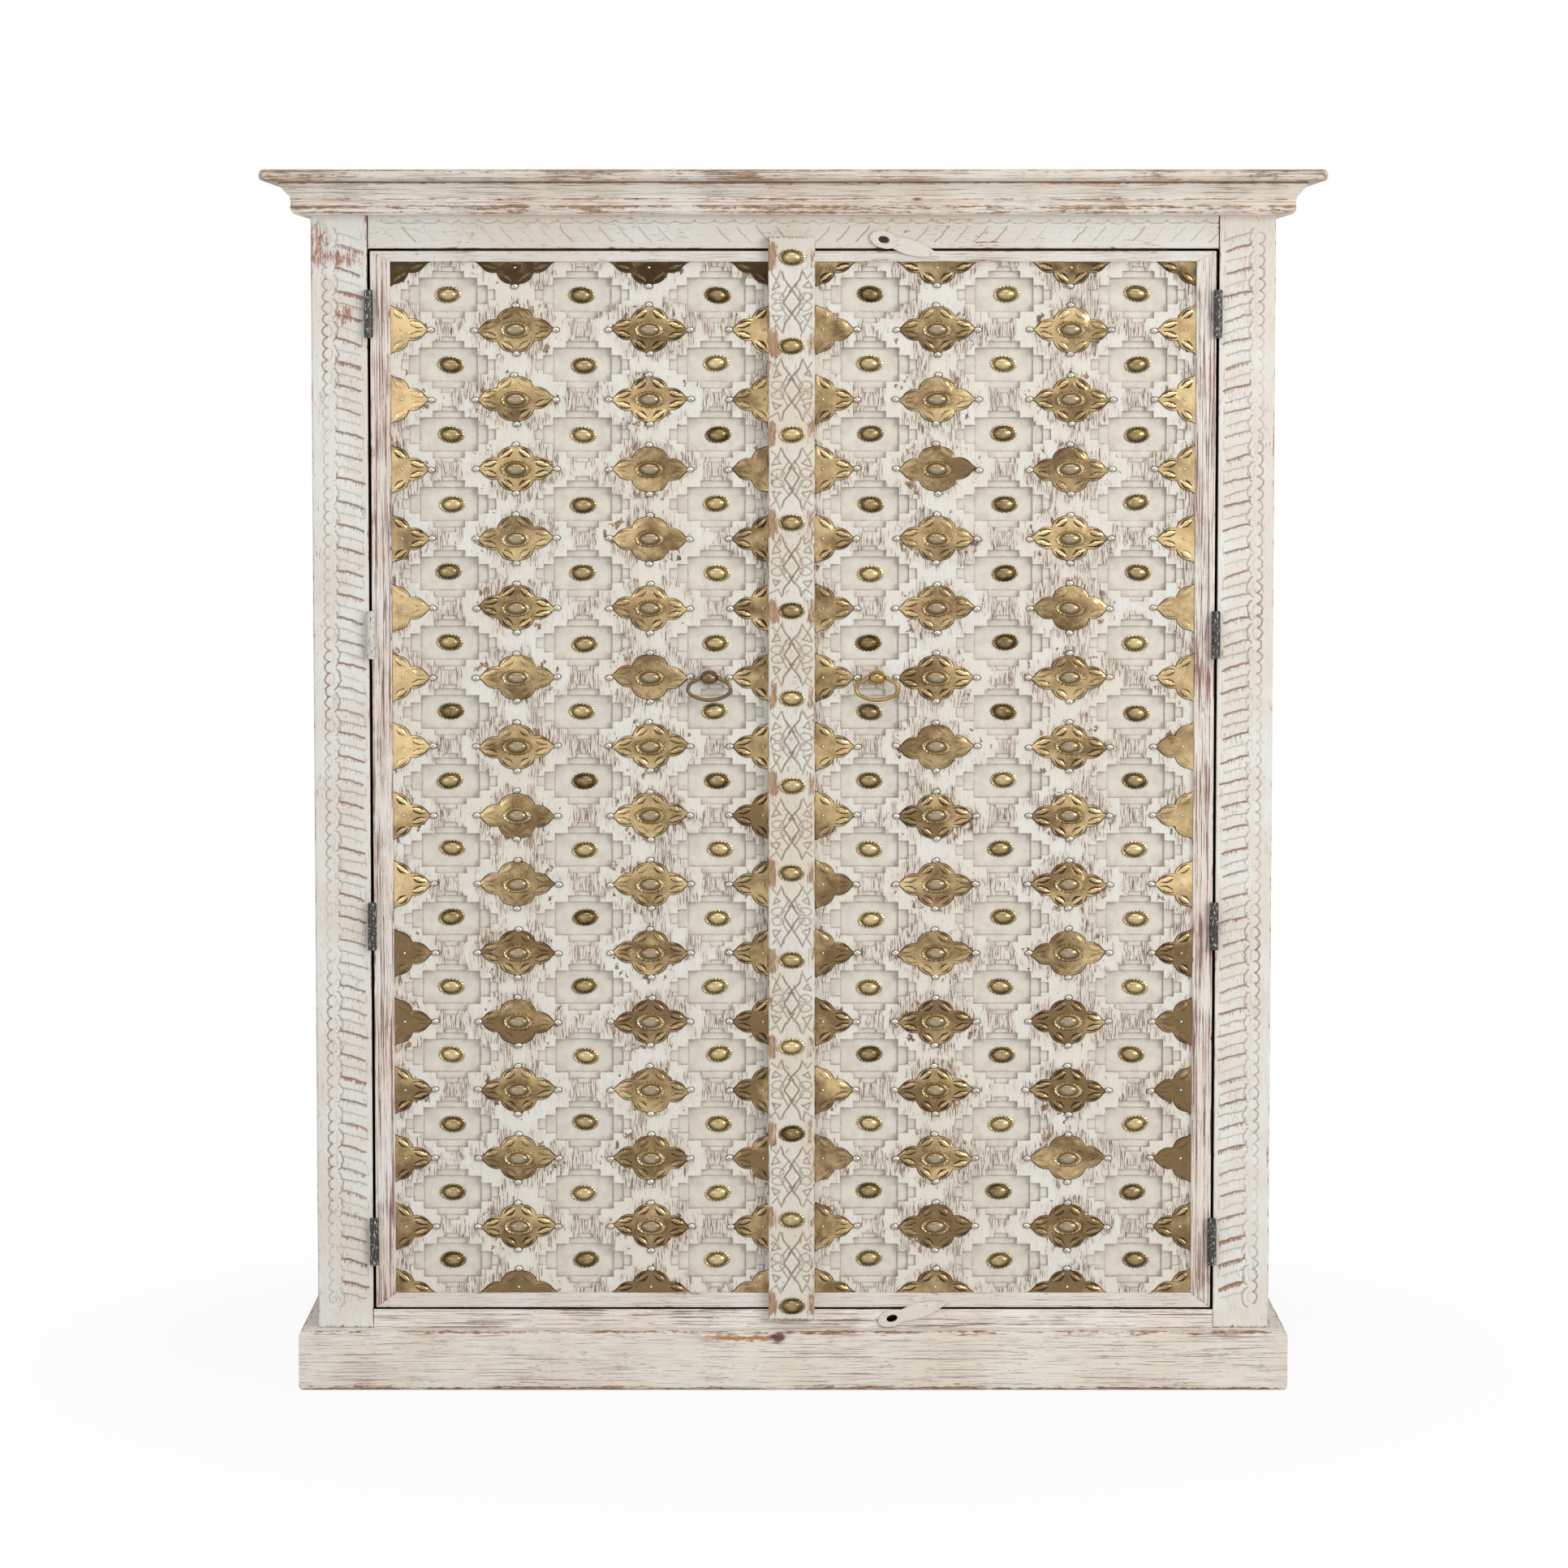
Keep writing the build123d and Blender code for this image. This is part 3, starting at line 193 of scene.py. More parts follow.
def mottle(add, where, across, along=None, grain="Z", detail=3.0, roughness=0.6, seed=0.0):
    """Noise from 0 to 1 with spots this wide across the grain and this long along it."""
    spots = [1 / (along if axis == grain and along else across) for axis in "XYZ"]
    spread = add("VectorMath", where, spots, (seed, 1.7 * seed, 0.6 * seed), operation="MULTIPLY_ADD")
    return add("TexNoise", {"Vector": spread, "Scale": 1.0, "Detail": detail, "Roughness": roughness})


def nearest(add, value, pitch):
    """How far a place is from the nearest of evenly spaced lines."""
    moved = add("Math", value, pitch / 2, operation="ADD")
    within = add("Math", moved, pitch, operation="FLOORED_MODULO")
    return add("Math", within, pitch / 2, operation="SUBTRACT")


def worn_paint(
    add, where, grain, wear=0.0, cool="#DFE0DB", warm="#DDD5CB", bare=("#B58E78", "#7A5A4C"), cracks=0.62,
    scored=("#775D50", "#AC7A57")
):
    """Chalky paint over brown wood, worn through in chips and streaks along the grain.

    Gives the colour, the relief, how worn each place is, and the broad patches that the wear follows."""
    patches = mottle(add, where, 85)
    streaks = mottle(add, where, 1.7, 42, grain, 5.0)
    chips = mottle(add, where, 3.6, 12, grain, 6.0, 0.72, 5.0)
    level = add("Math", add("Attribute", attribute_name="rub", out="Fac"), wear, operation="ADD")
    for amount, share in ((streaks, 0.60), (chips, 0.62), (patches, 0.40)):
        level = add("Math", amount, share, level, operation="MULTIPLY_ADD")
    worn = add("MapRange", level, 0.990, 1.012, 0.0, 1.0, **SMOOTH)
    thin = add("MapRange", level, 0.88, 1.0, 0.0, 0.5, **SMOOTH)
    tan = add("MapRange", chips, 0.45, 0.68, 0.0, 1.0, **SMOOTH)
    wood = add("Mix", {0: tan, 6: bare[0], 7: bare[1]}, **MIX)
    # Paint in cooler and warmer areas, brushed along the grain
    area = add("MapRange", mottle(add, where, 130, seed=2), 0.40, 0.60, 0.0, 1.0, **SMOOTH)
    color = add("Mix", {0: area, 6: cool, 7: warm}, **MIX)
    brushed = add("MapRange", mottle(add, where, 0.9, 30, grain, seed=8), 0.35, 0.75, 0.0, 0.4, **SMOOTH)
    # Hair cracks along the grain where the paint is dry, and fly specks
    split = mottle(add, where, 1.5, 11, grain, 4.0, 0.65, 11)
    split = add("MapRange", split, 0.60, 0.64, 0.0, cracks, **SMOOTH)
    dry = add("MapRange", mottle(add, where, 38, seed=9), 0.42, 0.62, 0.0, 1.0, **SMOOTH)
    split = add("Math", split, dry, operation="MULTIPLY")
    speck = mottle(add, where, 2.6, detail=1.0, seed=3)
    speck = add("MapRange", speck, 0.74, 0.78, 0.0, 0.55, **SMOOTH)
    # Dirt and bare wood in the scored lines
    cut = add("MapRange", add("Attribute", attribute_name="cut", out="Fac"), 0.1, 0.8, 0.0, 1.0)
    seen = add("MapRange", chips, 0.28, 0.55, 0.5, 1.0, **SMOOTH)
    darkening = add("Math", cut, seen, operation="MULTIPLY")
    dirty = add("Mix", {0: tan, 6: scored[0], 7: scored[1]}, **MIX)
    for share, tint in (
        (brushed, "#C9C1B5"), (thin, "#D3BDB0"), (worn, wood),
        (split, "#7F6A5C"), (speck, "#5E5048"), (darkening, dirty),
    ):
        color = add("Mix", {0: share, 6: color, 7: tint}, **MIX)
    height = add("Math", worn, -0.16, operation="MULTIPLY")
    for amount, share in ((brushed, 0.12), (split, -0.22)):
        height = add("Math", amount, share, height, operation="MULTIPLY_ADD")
    return color, height, worn, patches


def gap_shade_and_raw_wood(add, where, color):
    """The sides of the gaps round the doors: painted shade, near black, just behind the face, then raw wood
    further in.
    """
    x, y, z = add("SeparateXYZ", where).node.outputs
    across = add("Math", x, operation="ABSOLUTE")
    beyond = add("Math", across, GAP_OUTER_X, operation="SUBTRACT")
    for further, nearer in ((z, GAP_HEAD), (GAP_FOOT, z), (GAP_INNER_X, across)):
        value = add("Math", further, nearer, operation="SUBTRACT")
        beyond = add("Math", beyond, value, operation="MAXIMUM")
    facing = add("SeparateXYZ", add("TexCoord", out="Normal")).node.outputs[1]
    facing = add("Math", facing, operation="ABSOLUTE")
    share = add("Math", beyond, 0.0, operation="GREATER_THAN")
    for mask in (
        add("Math", across, GAP_END_X, operation="LESS_THAN"),
        add("Math", z, GAP_TOP, operation="LESS_THAN"),
        add("MapRange", facing, 0.6, 0.9, 1.0, 0.0, **SMOOTH),
        add("MapRange", y, FACE_Y + 0.25, FACE_Y + 0.8, 0.0, 1.0, **SMOOTH),
    ):
        share = add("Math", share, mask, operation="MULTIPLY")
    # painted shade: near black just inside the gap, turning to raw wood deeper in
    deep = add("MapRange", y, FACE_Y + 9.0, FACE_Y + 16.0, 0.0, 1.0, **SMOOTH)
    raw = add("Mix", {0: deep, 6: "#0E0A08", 7: "#765841"}, **MIX)
    return add("Mix", {0: share, 6: color, 7: raw}, **MIX)


def raw_grain(add, where, grain):
    """Brown rings and fine open fibre of unpainted hardwood: the colour and the fibre."""
    rings = add("MapRange", mottle(add, where, 9, 260, grain, 5.0), 0.35, 0.65, 0.0, 1.0, **SMOOTH)
    fibre = mottle(add, where, 0.9, 40, grain, 4.0, seed=7)
    color = add("Mix", {0: rings, 6: "#6B4C36", 7: "#A07B58"}, **MIX)
    pores = add("MapRange", fibre, 0.45, 0.70, 0.0, 0.5, **SMOOTH)
    return add("Mix", {0: pores, 6: color, 7: "#4C3526"}, **MIX), fibre


def painted_wood(name, grain, **paint):
    """Limewashed hardwood: a dry, chalky skin that has gone in streaks along the grain."""
    material, add, where = new_finish(name)
    color, height, worn, _ = worn_paint(add, where, grain, **paint)
    gloss = add("MapRange", worn, 0.0, 1.0, 0.60, 0.74)
    return finish_with(material, gap_shade_and_raw_wood(add, where, color), gloss, height)


def streaked_paint(name, grain, line, strength, mark=None, start=0.73, **paint):
    """Painted softwood whose open grain holds long coloured streaks and thin dark lines, perhaps marked."""
    material, add, where = new_finish(name)
    color, height, _, patches = worn_paint(add, where, grain, **paint)
    level = mottle(add, where, 1.5, 120, grain, 5.0, 0.7, 21)
    level = add("Math", patches, 0.30, level, operation="MULTIPLY_ADD")
    streak = add("MapRange", level, start, start + 0.045, 0.0, strength, **SMOOTH)
    thin = mottle(add, where, 0.9, 60, grain, 3.0, 0.6, 33)
    thin = add("MapRange", thin, 0.59, 0.65, 0.0, 0.7, **SMOOTH)
    for share, tint in ((streak, line), (thin, "#826A5E")):
        color = add("Mix", {0: share, 6: color, 7: tint}, **MIX)
    color = gap_shade_and_raw_wood(add, where, color)
    if mark:
        color = mark(add, where, color)
    return finish_with(material, color, 0.62, add("Math", streak, -0.2, height, operation="MULTIPLY_ADD"))


def plinth_knot(add, where, color):
    """A knot that bleeds wine red through the paint, with an orange streak running off to its left."""
    x, _, z = add("SeparateXYZ", where).node.outputs
    frayed = add("Math", mottle(add, where, 4, 9, "X", seed=17), 0.5, operation="SUBTRACT")
    off_x = add("Math", x, KNOT_X, operation="SUBTRACT")
    off_z = add("Math", add("Math", z, KNOT_Z, operation="SUBTRACT"), 9.0, operation="DIVIDE")
    off_z = add("Math", frayed, 1.6, off_z, operation="MULTIPLY_ADD")
    streak = add("MapRange", add("Math", off_z, operation="ABSOLUTE"), 0.15, 0.45, 0.9, 0.0, **SMOOTH)
    for start, end in ((-125.0, -60.0), (14.0, 0.0)):
        reach = add("MapRange", off_x, start, end, 0.0, 1.0, **SMOOTH)
        streak = add("Math", streak, reach, operation="MULTIPLY")
    off_x = add("Math", off_x, 12.0, operation="DIVIDE")
    away = add("VectorMath", add("CombineXYZ", off_x, off_z), operation="LENGTH", out=1)
    heart = add("MapRange", away, 0.45, 1.0, 0.92, 0.0, **SMOOTH)
    for share, tint in ((streak, "#A8743F"), (heart, "#4E2C2C")):
        color = add("Mix", {0: share, 6: color, 7: tint}, **MIX)
    return color


def peg_bore_shade(add, where, color):
    """The bore of the bottom rail's peg hole, painted near black as its shade."""
    x, y, _ = add("SeparateXYZ", where).node.outputs
    off = add("Math", add("Math", x, LOWER_PEG_X, operation="SUBTRACT"), operation="ABSOLUTE")
    bore = add("MapRange", y, FACE_Y + 0.4, FACE_Y + 1.5, 0.0, 1.0, **SMOOTH)
    for mask in (
        add("MapRange", y, LOWER_PEG_FLOOR, LOWER_PEG_FLOOR + 0.5, 1.0, 0.0, **SMOOTH),
        add("MapRange", off, 12.0, 14.0, 1.0, 0.0, **SMOOTH),
    ):
        bore = add("Math", bore, mask, operation="MULTIPLY")
    return add("Mix", {0: bore, 6: color, 7: "#0E0B09"}, **MIX)


def carved_panel_paint():
    """Painted hardwood, carved: crackled and bare round the brass, smooth and warm inside the crosses."""
    material, add, where = new_finish("painted wood, carved panels")
    x, y, z = add("SeparateXYZ", where).node.outputs
    shake = add("VectorMath", where, (1 / 6, 1 / 6, 1 / 6), operation="MULTIPLY")
    shake = add("TexNoise", {"Vector": shake, "Scale": 1.0, "Detail": 2.0}, out=1)
    shake = add("VectorMath", shake, (0.5, 0.5, 0.5), operation="SUBTRACT")
    wander = add("SeparateXYZ", shake).node.outputs
    off, far = [], []
    for place, middle, shaken, pitch, reach in (
        (add("Math", x, operation="ABSOLUTE"), PANEL_X, wander[0], COLUMN_PITCH, BARE_REACH[0]),
        (z, PANEL_Z, wander[2], ROW_PITCH, BARE_REACH[1]),
    ):
        place = add("Math", place, middle, operation="SUBTRACT")
        place = add("Math", shaken, 1.5, place, operation="MULTIPLY_ADD")
        off.append(add("Math", nearest(add, place, pitch), operation="ABSOLUTE"))
        between = add("Math", pitch / 2, off[-1], operation="SUBTRACT")
        far.append(add("Math", between, reach, operation="DIVIDE"))
    steps, edge = 0.0, 1000.0
    for level in reversed(PIT_LEVELS):
        for width, height in level:
            over_x = add("Math", off[0], width / 2, operation="SUBTRACT")
            over_z = add("Math", off[1], height / 2, operation="SUBTRACT")
            over = add("Math", over_x, over_z, operation="MAXIMUM")
            edge = add("Math", over, edge, operation="MINIMUM")
        line = add("MapRange", add("Math", edge, operation="ABSOLUTE"), 0.2, 1.1, 1.0, 0.0, **SMOOTH)
        steps = add("Math", line, steps, operation="MAXIMUM")
    sunk = add("MapRange", y, PANEL_FACE + 0.8, PANEL_FACE + 2.2, 0.0, 1.0, **SMOOTH)
    flat = add("Math", 1.0, sunk, operation="SUBTRACT")
    # Bare patches round the flowers
    petal = add("VectorMath", add("CombineXYZ", *far), operation="LENGTH", out=1)
    near = add("MapRange", petal, 0.95, 1.45, 0.10, 0.0, **SMOOTH)
    wear = add("Math", near, 0.09, operation="SUBTRACT")
    wear = add("Math", sunk, -0.6, wear, operation="MULTIPLY_ADD")
    color, height, _, _ = worn_paint(
        add, where, "Z", wear, cool="#E3E4DE", warm="#E2DED2", bare=("#A0866E", "#6A5546"), cracks=0.35
    )
    # Dry paint split down to the wood in upright slivers, between the crosses and beside the flowers
    neck = add("MapRange", off[0], 12.0, 22.0, 0.19, 0.0, **SMOOTH)
    strip = add("Math", add("Math", off[0], STRIP_X, operation="SUBTRACT"), operation="ABSOLUTE")
    strip = add("MapRange", strip, 3.0, 15.0, 0.06, 0.0, **SMOOTH)
    dense = add("Math", add("Math", neck, strip, operation="MAXIMUM"), near, operation="ADD")
    dense = add("Math", mottle(add, where, 24, 40, seed=9), dense, operation="ADD")
    dense = add("MapRange", dense, 0.46, 0.68, 0.0, 1.0, **SMOOTH)
    dense = add("Math", dense, flat, operation="MULTIPLY")
    split = mottle(add, where, 1.2, 17, "Z", 4.0, 0.62, 41)
    split = add("Math", dense, 0.18, split, operation="MULTIPLY_ADD")
    split = add("MapRange", split, 0.70, 0.735, 0.0, 0.95, **SMOOTH)
    flake = add("Math", mottle(add, where, 13, 18, "Z", 6.0, 0.66, 52), near, operation="ADD")
    flake = add("MapRange", flake, 0.705, 0.715, 0.0, 1.0)
    sliver = add("Math", split, flake, operation="MAXIMUM")
    sliver = add("Math", sliver, flat, operation="MULTIPLY")
    wood = add("MapRange", mottle(add, where, 9, seed=15), 0.38, 0.62, 0.0, 1.0, **SMOOTH)
    wood = add("Mix", {0: wood, 6: "#66584A", 7: "#A6866A"}, **MIX)
    # Smooth warm paint inside the crosses, a thin darker line along every step, painted shade on the walls
    # that face sideways, and raw wood at the back
    cloudy = mottle(add, where, 16, detail=4.0, seed=14)
    cloudy = add("MapRange", cloudy, 0.35, 0.68, 0.0, 1.0, **SMOOTH)
    inside = add("Mix", {0: cloudy, 6: "#DEDACF", 7: "#D0C9BE"}, **MIX)
    broken = add("MapRange", mottle(add, where, 4.5, seed=6), 0.36, 0.58, 0.12, 0.6, **SMOOTH)
    facing = add("SeparateXYZ", add("TexCoord", out="Normal")).node.outputs[1]
    facing = add("Math", facing, operation="ABSOLUTE")
    behind = add("MapRange", y, PANEL_FACE + 12.0, PANEL_FACE + 13.0, 0.0, 1.0, **SMOOTH)
    for share, tint in (
        (add("Math", dense, 0.55, operation="MULTIPLY"), "#D6CBC0"),
        (sliver, wood),
        (add("Math", sunk, 0.88, operation="MULTIPLY"), inside),
        (add("Math", steps, broken, operation="MULTIPLY"), "#9C8E82"),
        # painted shade: walls that face sideways are darker
        (add("MapRange", facing, 0.3, 0.7, 0.5, 0.0, **SMOOTH), "#B5A699"),
        (behind, raw_grain(add, where, "Z")[0]),
    ):
        color = add("Mix", {0: share, 6: color, 7: tint}, **MIX)
    height = add("Math", sliver, -0.3, height, operation="MULTIPLY_ADD")
    return finish_with(material, color, add("MapRange", sunk, 0.0, 1.0, 0.66, 0.56), height)


def planed_wood(name, grain, boards=None):
    """Planed hardwood, oiled and never painted: brown rings, fine open fibre, each board in its own shade."""
    material, add, where = new_finish(name)
    if boards:
        start, pitch = boards
        x = add("SeparateXYZ", where).node.outputs[0]
        from_edge = add("Math", x, start, operation="SUBTRACT")
        which = add("Math", add("Math", from_edge, pitch, operation="DIVIDE"), operation="FLOOR")
        own = add("TexWhiteNoise", {"W": which}, noise_dimensions="1D")
        shift = add("CombineXYZ", 0.0, 0.0, own)
        where = add("VectorMath", shift, (0.0, 0.0, 900.0), where, operation="MULTIPLY_ADD")
    color, fibre = raw_grain(add, where, grain)
    if boards:
        joint = add("Math", nearest(add, from_edge, pitch), operation="ABSOLUTE")
        joint = add("MapRange", joint, 0.5, 1.6, 0.85, 0.0, **SMOOTH)
        for share, tint in ((add("Math", own, 0.45, operation="MULTIPLY"), "#B08A64"), (joint, "#1A120C")):
            color = add("Mix", {0: share, 6: color, 7: tint}, **MIX)
    gloss = add("MapRange", fibre, 0.3, 0.7, 0.58, 0.76)
    return finish_with(material, color, gloss, add("Math", fibre, -0.15, operation="MULTIPLY"))


def old_brass(name, bright, dull, dark, gloss, dents):
    """Brass beaten or stamped from sheet: bright where it is rubbed and where a highlight is painted in, brown
    in its hollows, and dark where shade is painted in.
    """
    material, add, where = new_finish(name)
    tone = add("Attribute", attribute_name="tone", out="Fac")
    grime_and_shade = add("Attribute", attribute_name="grime_and_shade", out="Fac")
    fine = mottle(add, where, 1.8, seed=3)
    level = add("Math", tone, 0.55, operation="SUBTRACT")
    level = add("Math", mottle(add, where, 12, detail=4.0), 1.1, level, operation="MULTIPLY_ADD")
    rubbed = add("MapRange", level, 0.0, 1.0, 0.0, 1.0)
    color = add("Mix", {0: rubbed, 6: dull, 7: bright}, **MIX)
    stain_and_shade = add("Math", fine, 0.5, grime_and_shade, operation="MULTIPLY_ADD")
    stain_and_shade = add("MapRange", stain_and_shade, 0.34, 0.95, 0.0, 0.95, **SMOOTH)
    color = add("Mix", {0: stain_and_shade, 6: color, 7: dark}, **MIX)
    height = add("Math", fine, 0.05, operation="MULTIPLY")
    height = add("Math", mottle(add, where, 7, detail=2.0, seed=13), dents, height, operation="MULTIPLY_ADD")
    dullness = add("MapRange", stain_and_shade, 0.0, 1.0, gloss, gloss + 0.22)
    return finish_with(material, color, dullness, height, Metallic=1.0)


def tinned_steel(name, bright, dull):
    """Tinned steel: soft silver clouded grey, browner where the tin has gone, and paler on top and darker at
    the foot where highlight and shade are painted in.
    """
    material, add, where = new_finish(name)
    cloud = mottle(add, where, 3.0)
    bloom_and_painted_light = add("Math", cloud, add("Attribute", attribute_name="grime_and_shade", out="Fac"), operation="ADD")
    bloom_and_painted_light = add("MapRange", bloom_and_painted_light, 0.35, 1.1, 0.0, 1.0, **SMOOTH)
    color = add("Mix", {0: bloom_and_painted_light, 6: bright, 7: dull}, **MIX)
    gloss = add("MapRange", cloud, 0.3, 0.7, 0.2, 0.36)
    height = add("Math", cloud, 0.08, operation="MULTIPLY")
    return finish_with(material, color, gloss, height, Metallic=1.0)


def blackened_iron():
    """Blackened iron hinges, flecked with the paint round them; one on the left is painted over."""
    material, add, where = new_finish("blackened iron")
    x, _, z = add("SeparateXYZ", where).node.outputs
    painted = add("Math", add("Math", z, PAINTED_HINGE_Z, operation="SUBTRACT"), operation="ABSOLUTE")
    painted = add("Math", painted, HINGE_REACH, operation="LESS_THAN")
    left = add("Math", x, LEFT_HINGES_X, operation="LESS_THAN")
    painted = add("Math", left, painted, operation="MULTIPLY")
    level = add("Math", painted, 0.22, mottle(add, where, 1.7, 5.0, "Z"), operation="MULTIPLY_ADD")
    flecks = add("MapRange", level, 0.59, 0.63, 0.0, 1.0, **SMOOTH)
    color = add("Mix", {0: mottle(add, where, 2.0, seed=4), 6: "#101113", 7: "#303033"}, **MIX)
    color = add("Mix", {0: flecks, 6: color, 7: "#CFCDC8"}, **MIX)
    height = add("Math", flecks, 0.15, operation="MULTIPLY")
    return finish_with(material, color, 0.38, height, **{"Specular IOR Level": 0.6})


def shaded_bore():
    """Raw end grain in a hole, painted near black as the hole's shade."""
    material, add, where = new_finish("peg hole, painted shade")
    fibre = mottle(add, where, 1.2)
    color = add("Mix", {0: fibre, 6: "#080605", 7: "#1A130E"}, **MIX)
    return finish_with(material, color, 0.8, fibre)


def straight_sight(add):
    """1 for what the camera sees, itself or in metal and glass, and 0 for light on its way to the object."""
    rays = add("LightPath").node.outputs
    seen = add("Math", rays["Is Camera Ray"], rays["Is Glossy Ray"], operation="MAXIMUM")
    return add("Math", seen, rays["Is Transmission Ray"], operation="MAXIMUM")


def studio_paper():
    """Matt white paper: the floor fades into the surround and keeps a faint shadow."""
    material, add, where = new_finish("white paper floor")
    x, y, _ = add("SeparateXYZ", where).node.outputs
    away = add("VectorMath", add("CombineXYZ", x, y), operation="LENGTH", out=1)
    faded = add("MapRange", away, 700.0, 1300.0, 0.92, 1.0, **SMOOTH)
    nodes = material.node_tree.nodes
    shader = nodes["Principled BSDF"]
    shader.inputs["Base Color"].default_value = srgb("#EAEAE8")
    shader.inputs["Roughness"].default_value = 0.9
    shader.inputs["Specular IOR Level"].default_value = 0.1
    glow = add("Emission", {"Color": "#FFFFFF", "Strength": 1.0})
    share = add("Math", straight_sight(add), faded, operation="MULTIPLY")
    mixed = add("MixShader", share, shader.outputs[0], glow)
    material.node_tree.links.new(mixed, nodes["Material Output"].inputs["Surface"])
    return material


PLINTH_PAINT = {"wear": -0.05, "cool": "#E5E1D8", "warm": "#E2D8CB", "bare": ("#A98668", "#6E4C3C")}
# The cornice is painted paler than the case, so that its cove, which faces down, looks brighter: painted light
CORNICE_PAINT = {
    "start": 0.71, "wear": -0.04, "cool": "#F1ECE3", "warm": "#EEE3D6", "bare": ("#B0906E", "#86664C")
}
FINISHES = {
    "stile": painted_wood(
        "painted wood, carved stiles", "Z", wear=-0.055, cool="#E4E6E2", warm="#E0DAD1",
        bare=("#BC9384", "#94695A")
    ),
    "rail": painted_wood("painted wood, top rail", "X", wear=-0.03, warm="#DDD5CA"),
    "bottom_rail": streaked_paint(
        "painted wood, bottom rail", "X", "#7C4C46", 0.85, peg_bore_shade, 0.70, wear=-0.01, cool="#EFEDE8",
        warm="#EDE4DB", bare=("#A97F74", "#6E4844")
    ),
    "panel": carved_panel_paint(),
    "astragal": painted_wood(
        "painted wood, carved astragal", "Z", wear=-0.032, cool="#DEDCD4", warm="#D9CFC0",
        bare=("#B09072", "#86684F"), scored=("#6C5B47", "#97795A")
    ),
    "side": streaked_paint("painted wood, case sides", "Z", "#A08676", 0.5, wear=-0.005),
    "door_upright": streaked_paint(
        "painted wood, door stiles", "Z", "#7E4E46", 0.92, start=0.68, wear=-0.02, cool="#E8E4DE",
        warm="#E4D6CC", bare=("#B58A80", "#8A6058")
    ),
    "door_rail": streaked_paint(
        "painted wood, door rails", "X", "#A88478", 0.4, wear=-0.045, cool="#E2E0DA", warm="#E0D6CD"
    ),
    "plinth": streaked_paint("painted wood, plinth", "X", "#8E7464", 0.75, plinth_knot, **PLINTH_PAINT),
    "plinth_side": streaked_paint("painted wood, plinth returns", "Y", "#8E7464", 0.75, **PLINTH_PAINT),
    "top_board": streaked_paint(
        "painted wood, top board", "X", "#8E7058", 0.85, start=0.71, wear=-0.01, cool="#DAD5CB",
        warm="#D8CABB", bare=("#B08E70", "#80604A")
    ),
    "cornice": streaked_paint("painted wood, cornice", "X", "#94705C", 0.7, **CORNICE_PAINT),
    "cornice_side": streaked_paint("painted wood, cornice returns", "Y", "#94705C", 0.7, **CORNICE_PAINT),
    "hasp": painted_wood(
        "painted steel, hasps", "X", wear=-0.045, cool="#DEDAD2", warm="#E0DAD0", bare=("#A2927E", "#6E5F50")
    ),
    "wood_x": planed_wood("planed wood, grain across", "X"),
    "wood_y": planed_wood("planed wood, grain front to back", "Y"),
    "back_boards": planed_wood(
        "planed wood, back boards", "Z", (BACK_LOW.x, (BACK_HIGH.x - BACK_LOW.x) / BACK_BOARD_COUNT)
    ),
    "sheet": old_brass("beaten brass sheet", "#EACE9A", "#80694A", "#36291B", 0.22, 0.5),
    "stud": old_brass("stamped brass studs", "#DCC594", "#65502F", "#241B12", 0.24, 0.1),
    "rim": old_brass("beaded brass rims", "#DCCBA2", "#AA9064", "#3A2E1E", 0.22, 0.1),
    "ring": old_brass("rubbed brass pull", "#B89C6A", "#84693F", "#40301C", 0.24, 0.08),
    "dark_ring": old_brass("darkened brass pull", "#8C765A", "#5A4630", "#281E14", 0.26, 0.08),
    "nail": tinned_steel("tinned steel nails", "#C9C3B6", "#665E52"),
    "dome": tinned_steel("worn tinned steel domes", "#A59985", "#7C6A4C"),
    "iron": blackened_iron(),
    "bore": shaded_bore(),
}


# ---------------------------------------------------------------- making pieces

# Turns what lies flat with its top towards +Z to stand against the front
UPRIGHT = Matrix.Rotation(math.pi / 2, 4, "X")
WORN_GRID = 0.5


def mesh_from(made, name):
    """A mesh of a bmesh's shape, which ends with it."""
    mesh = bpy.data.meshes.new(name)
    made.to_mesh(mesh)
    made.free()
    return mesh


def placed(name, data):
    """A new object in the scene."""
    thing = bpy.data.objects.new(name, data)
    bpy.context.scene.collection.objects.link(thing)
    return thing


def keep(made, name, finish, body, replaced=(), slot=None, sharp=None):
    """Turns a bmesh in millimetres into a finished piece that rides on a CAD body."""
    bmesh.ops.recalc_face_normals(made, faces=made.faces)
    bmesh.ops.scale(made, vec=(MM, MM, MM), verts=made.verts)
    return dress(mesh_from(made, name), name, finish, body, replaced, slot, sharp)


def dress(mesh, name, finish, body, replaced=(), slot=None, sharp=None):
    """Gives a mesh its finish, smooth shading and body."""
    mesh.materials.clear()
    for key in [finish] if isinstance(finish, str) else finish:
        mesh.materials.append(FINISHES[key])
    mesh.shade_smooth()
    if sharp:
        mesh.set_sharp_from_angle(angle=math.radians(sharp))
    piece = placed(name, mesh)
    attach(piece, body)
    if replaced:
        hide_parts(*replaced)
    return piece


def verts_of(result):
    """The new corners among what an extrusion gives."""
    return [part for part in result["geom"] if isinstance(part, bmesh.types.BMVert)]


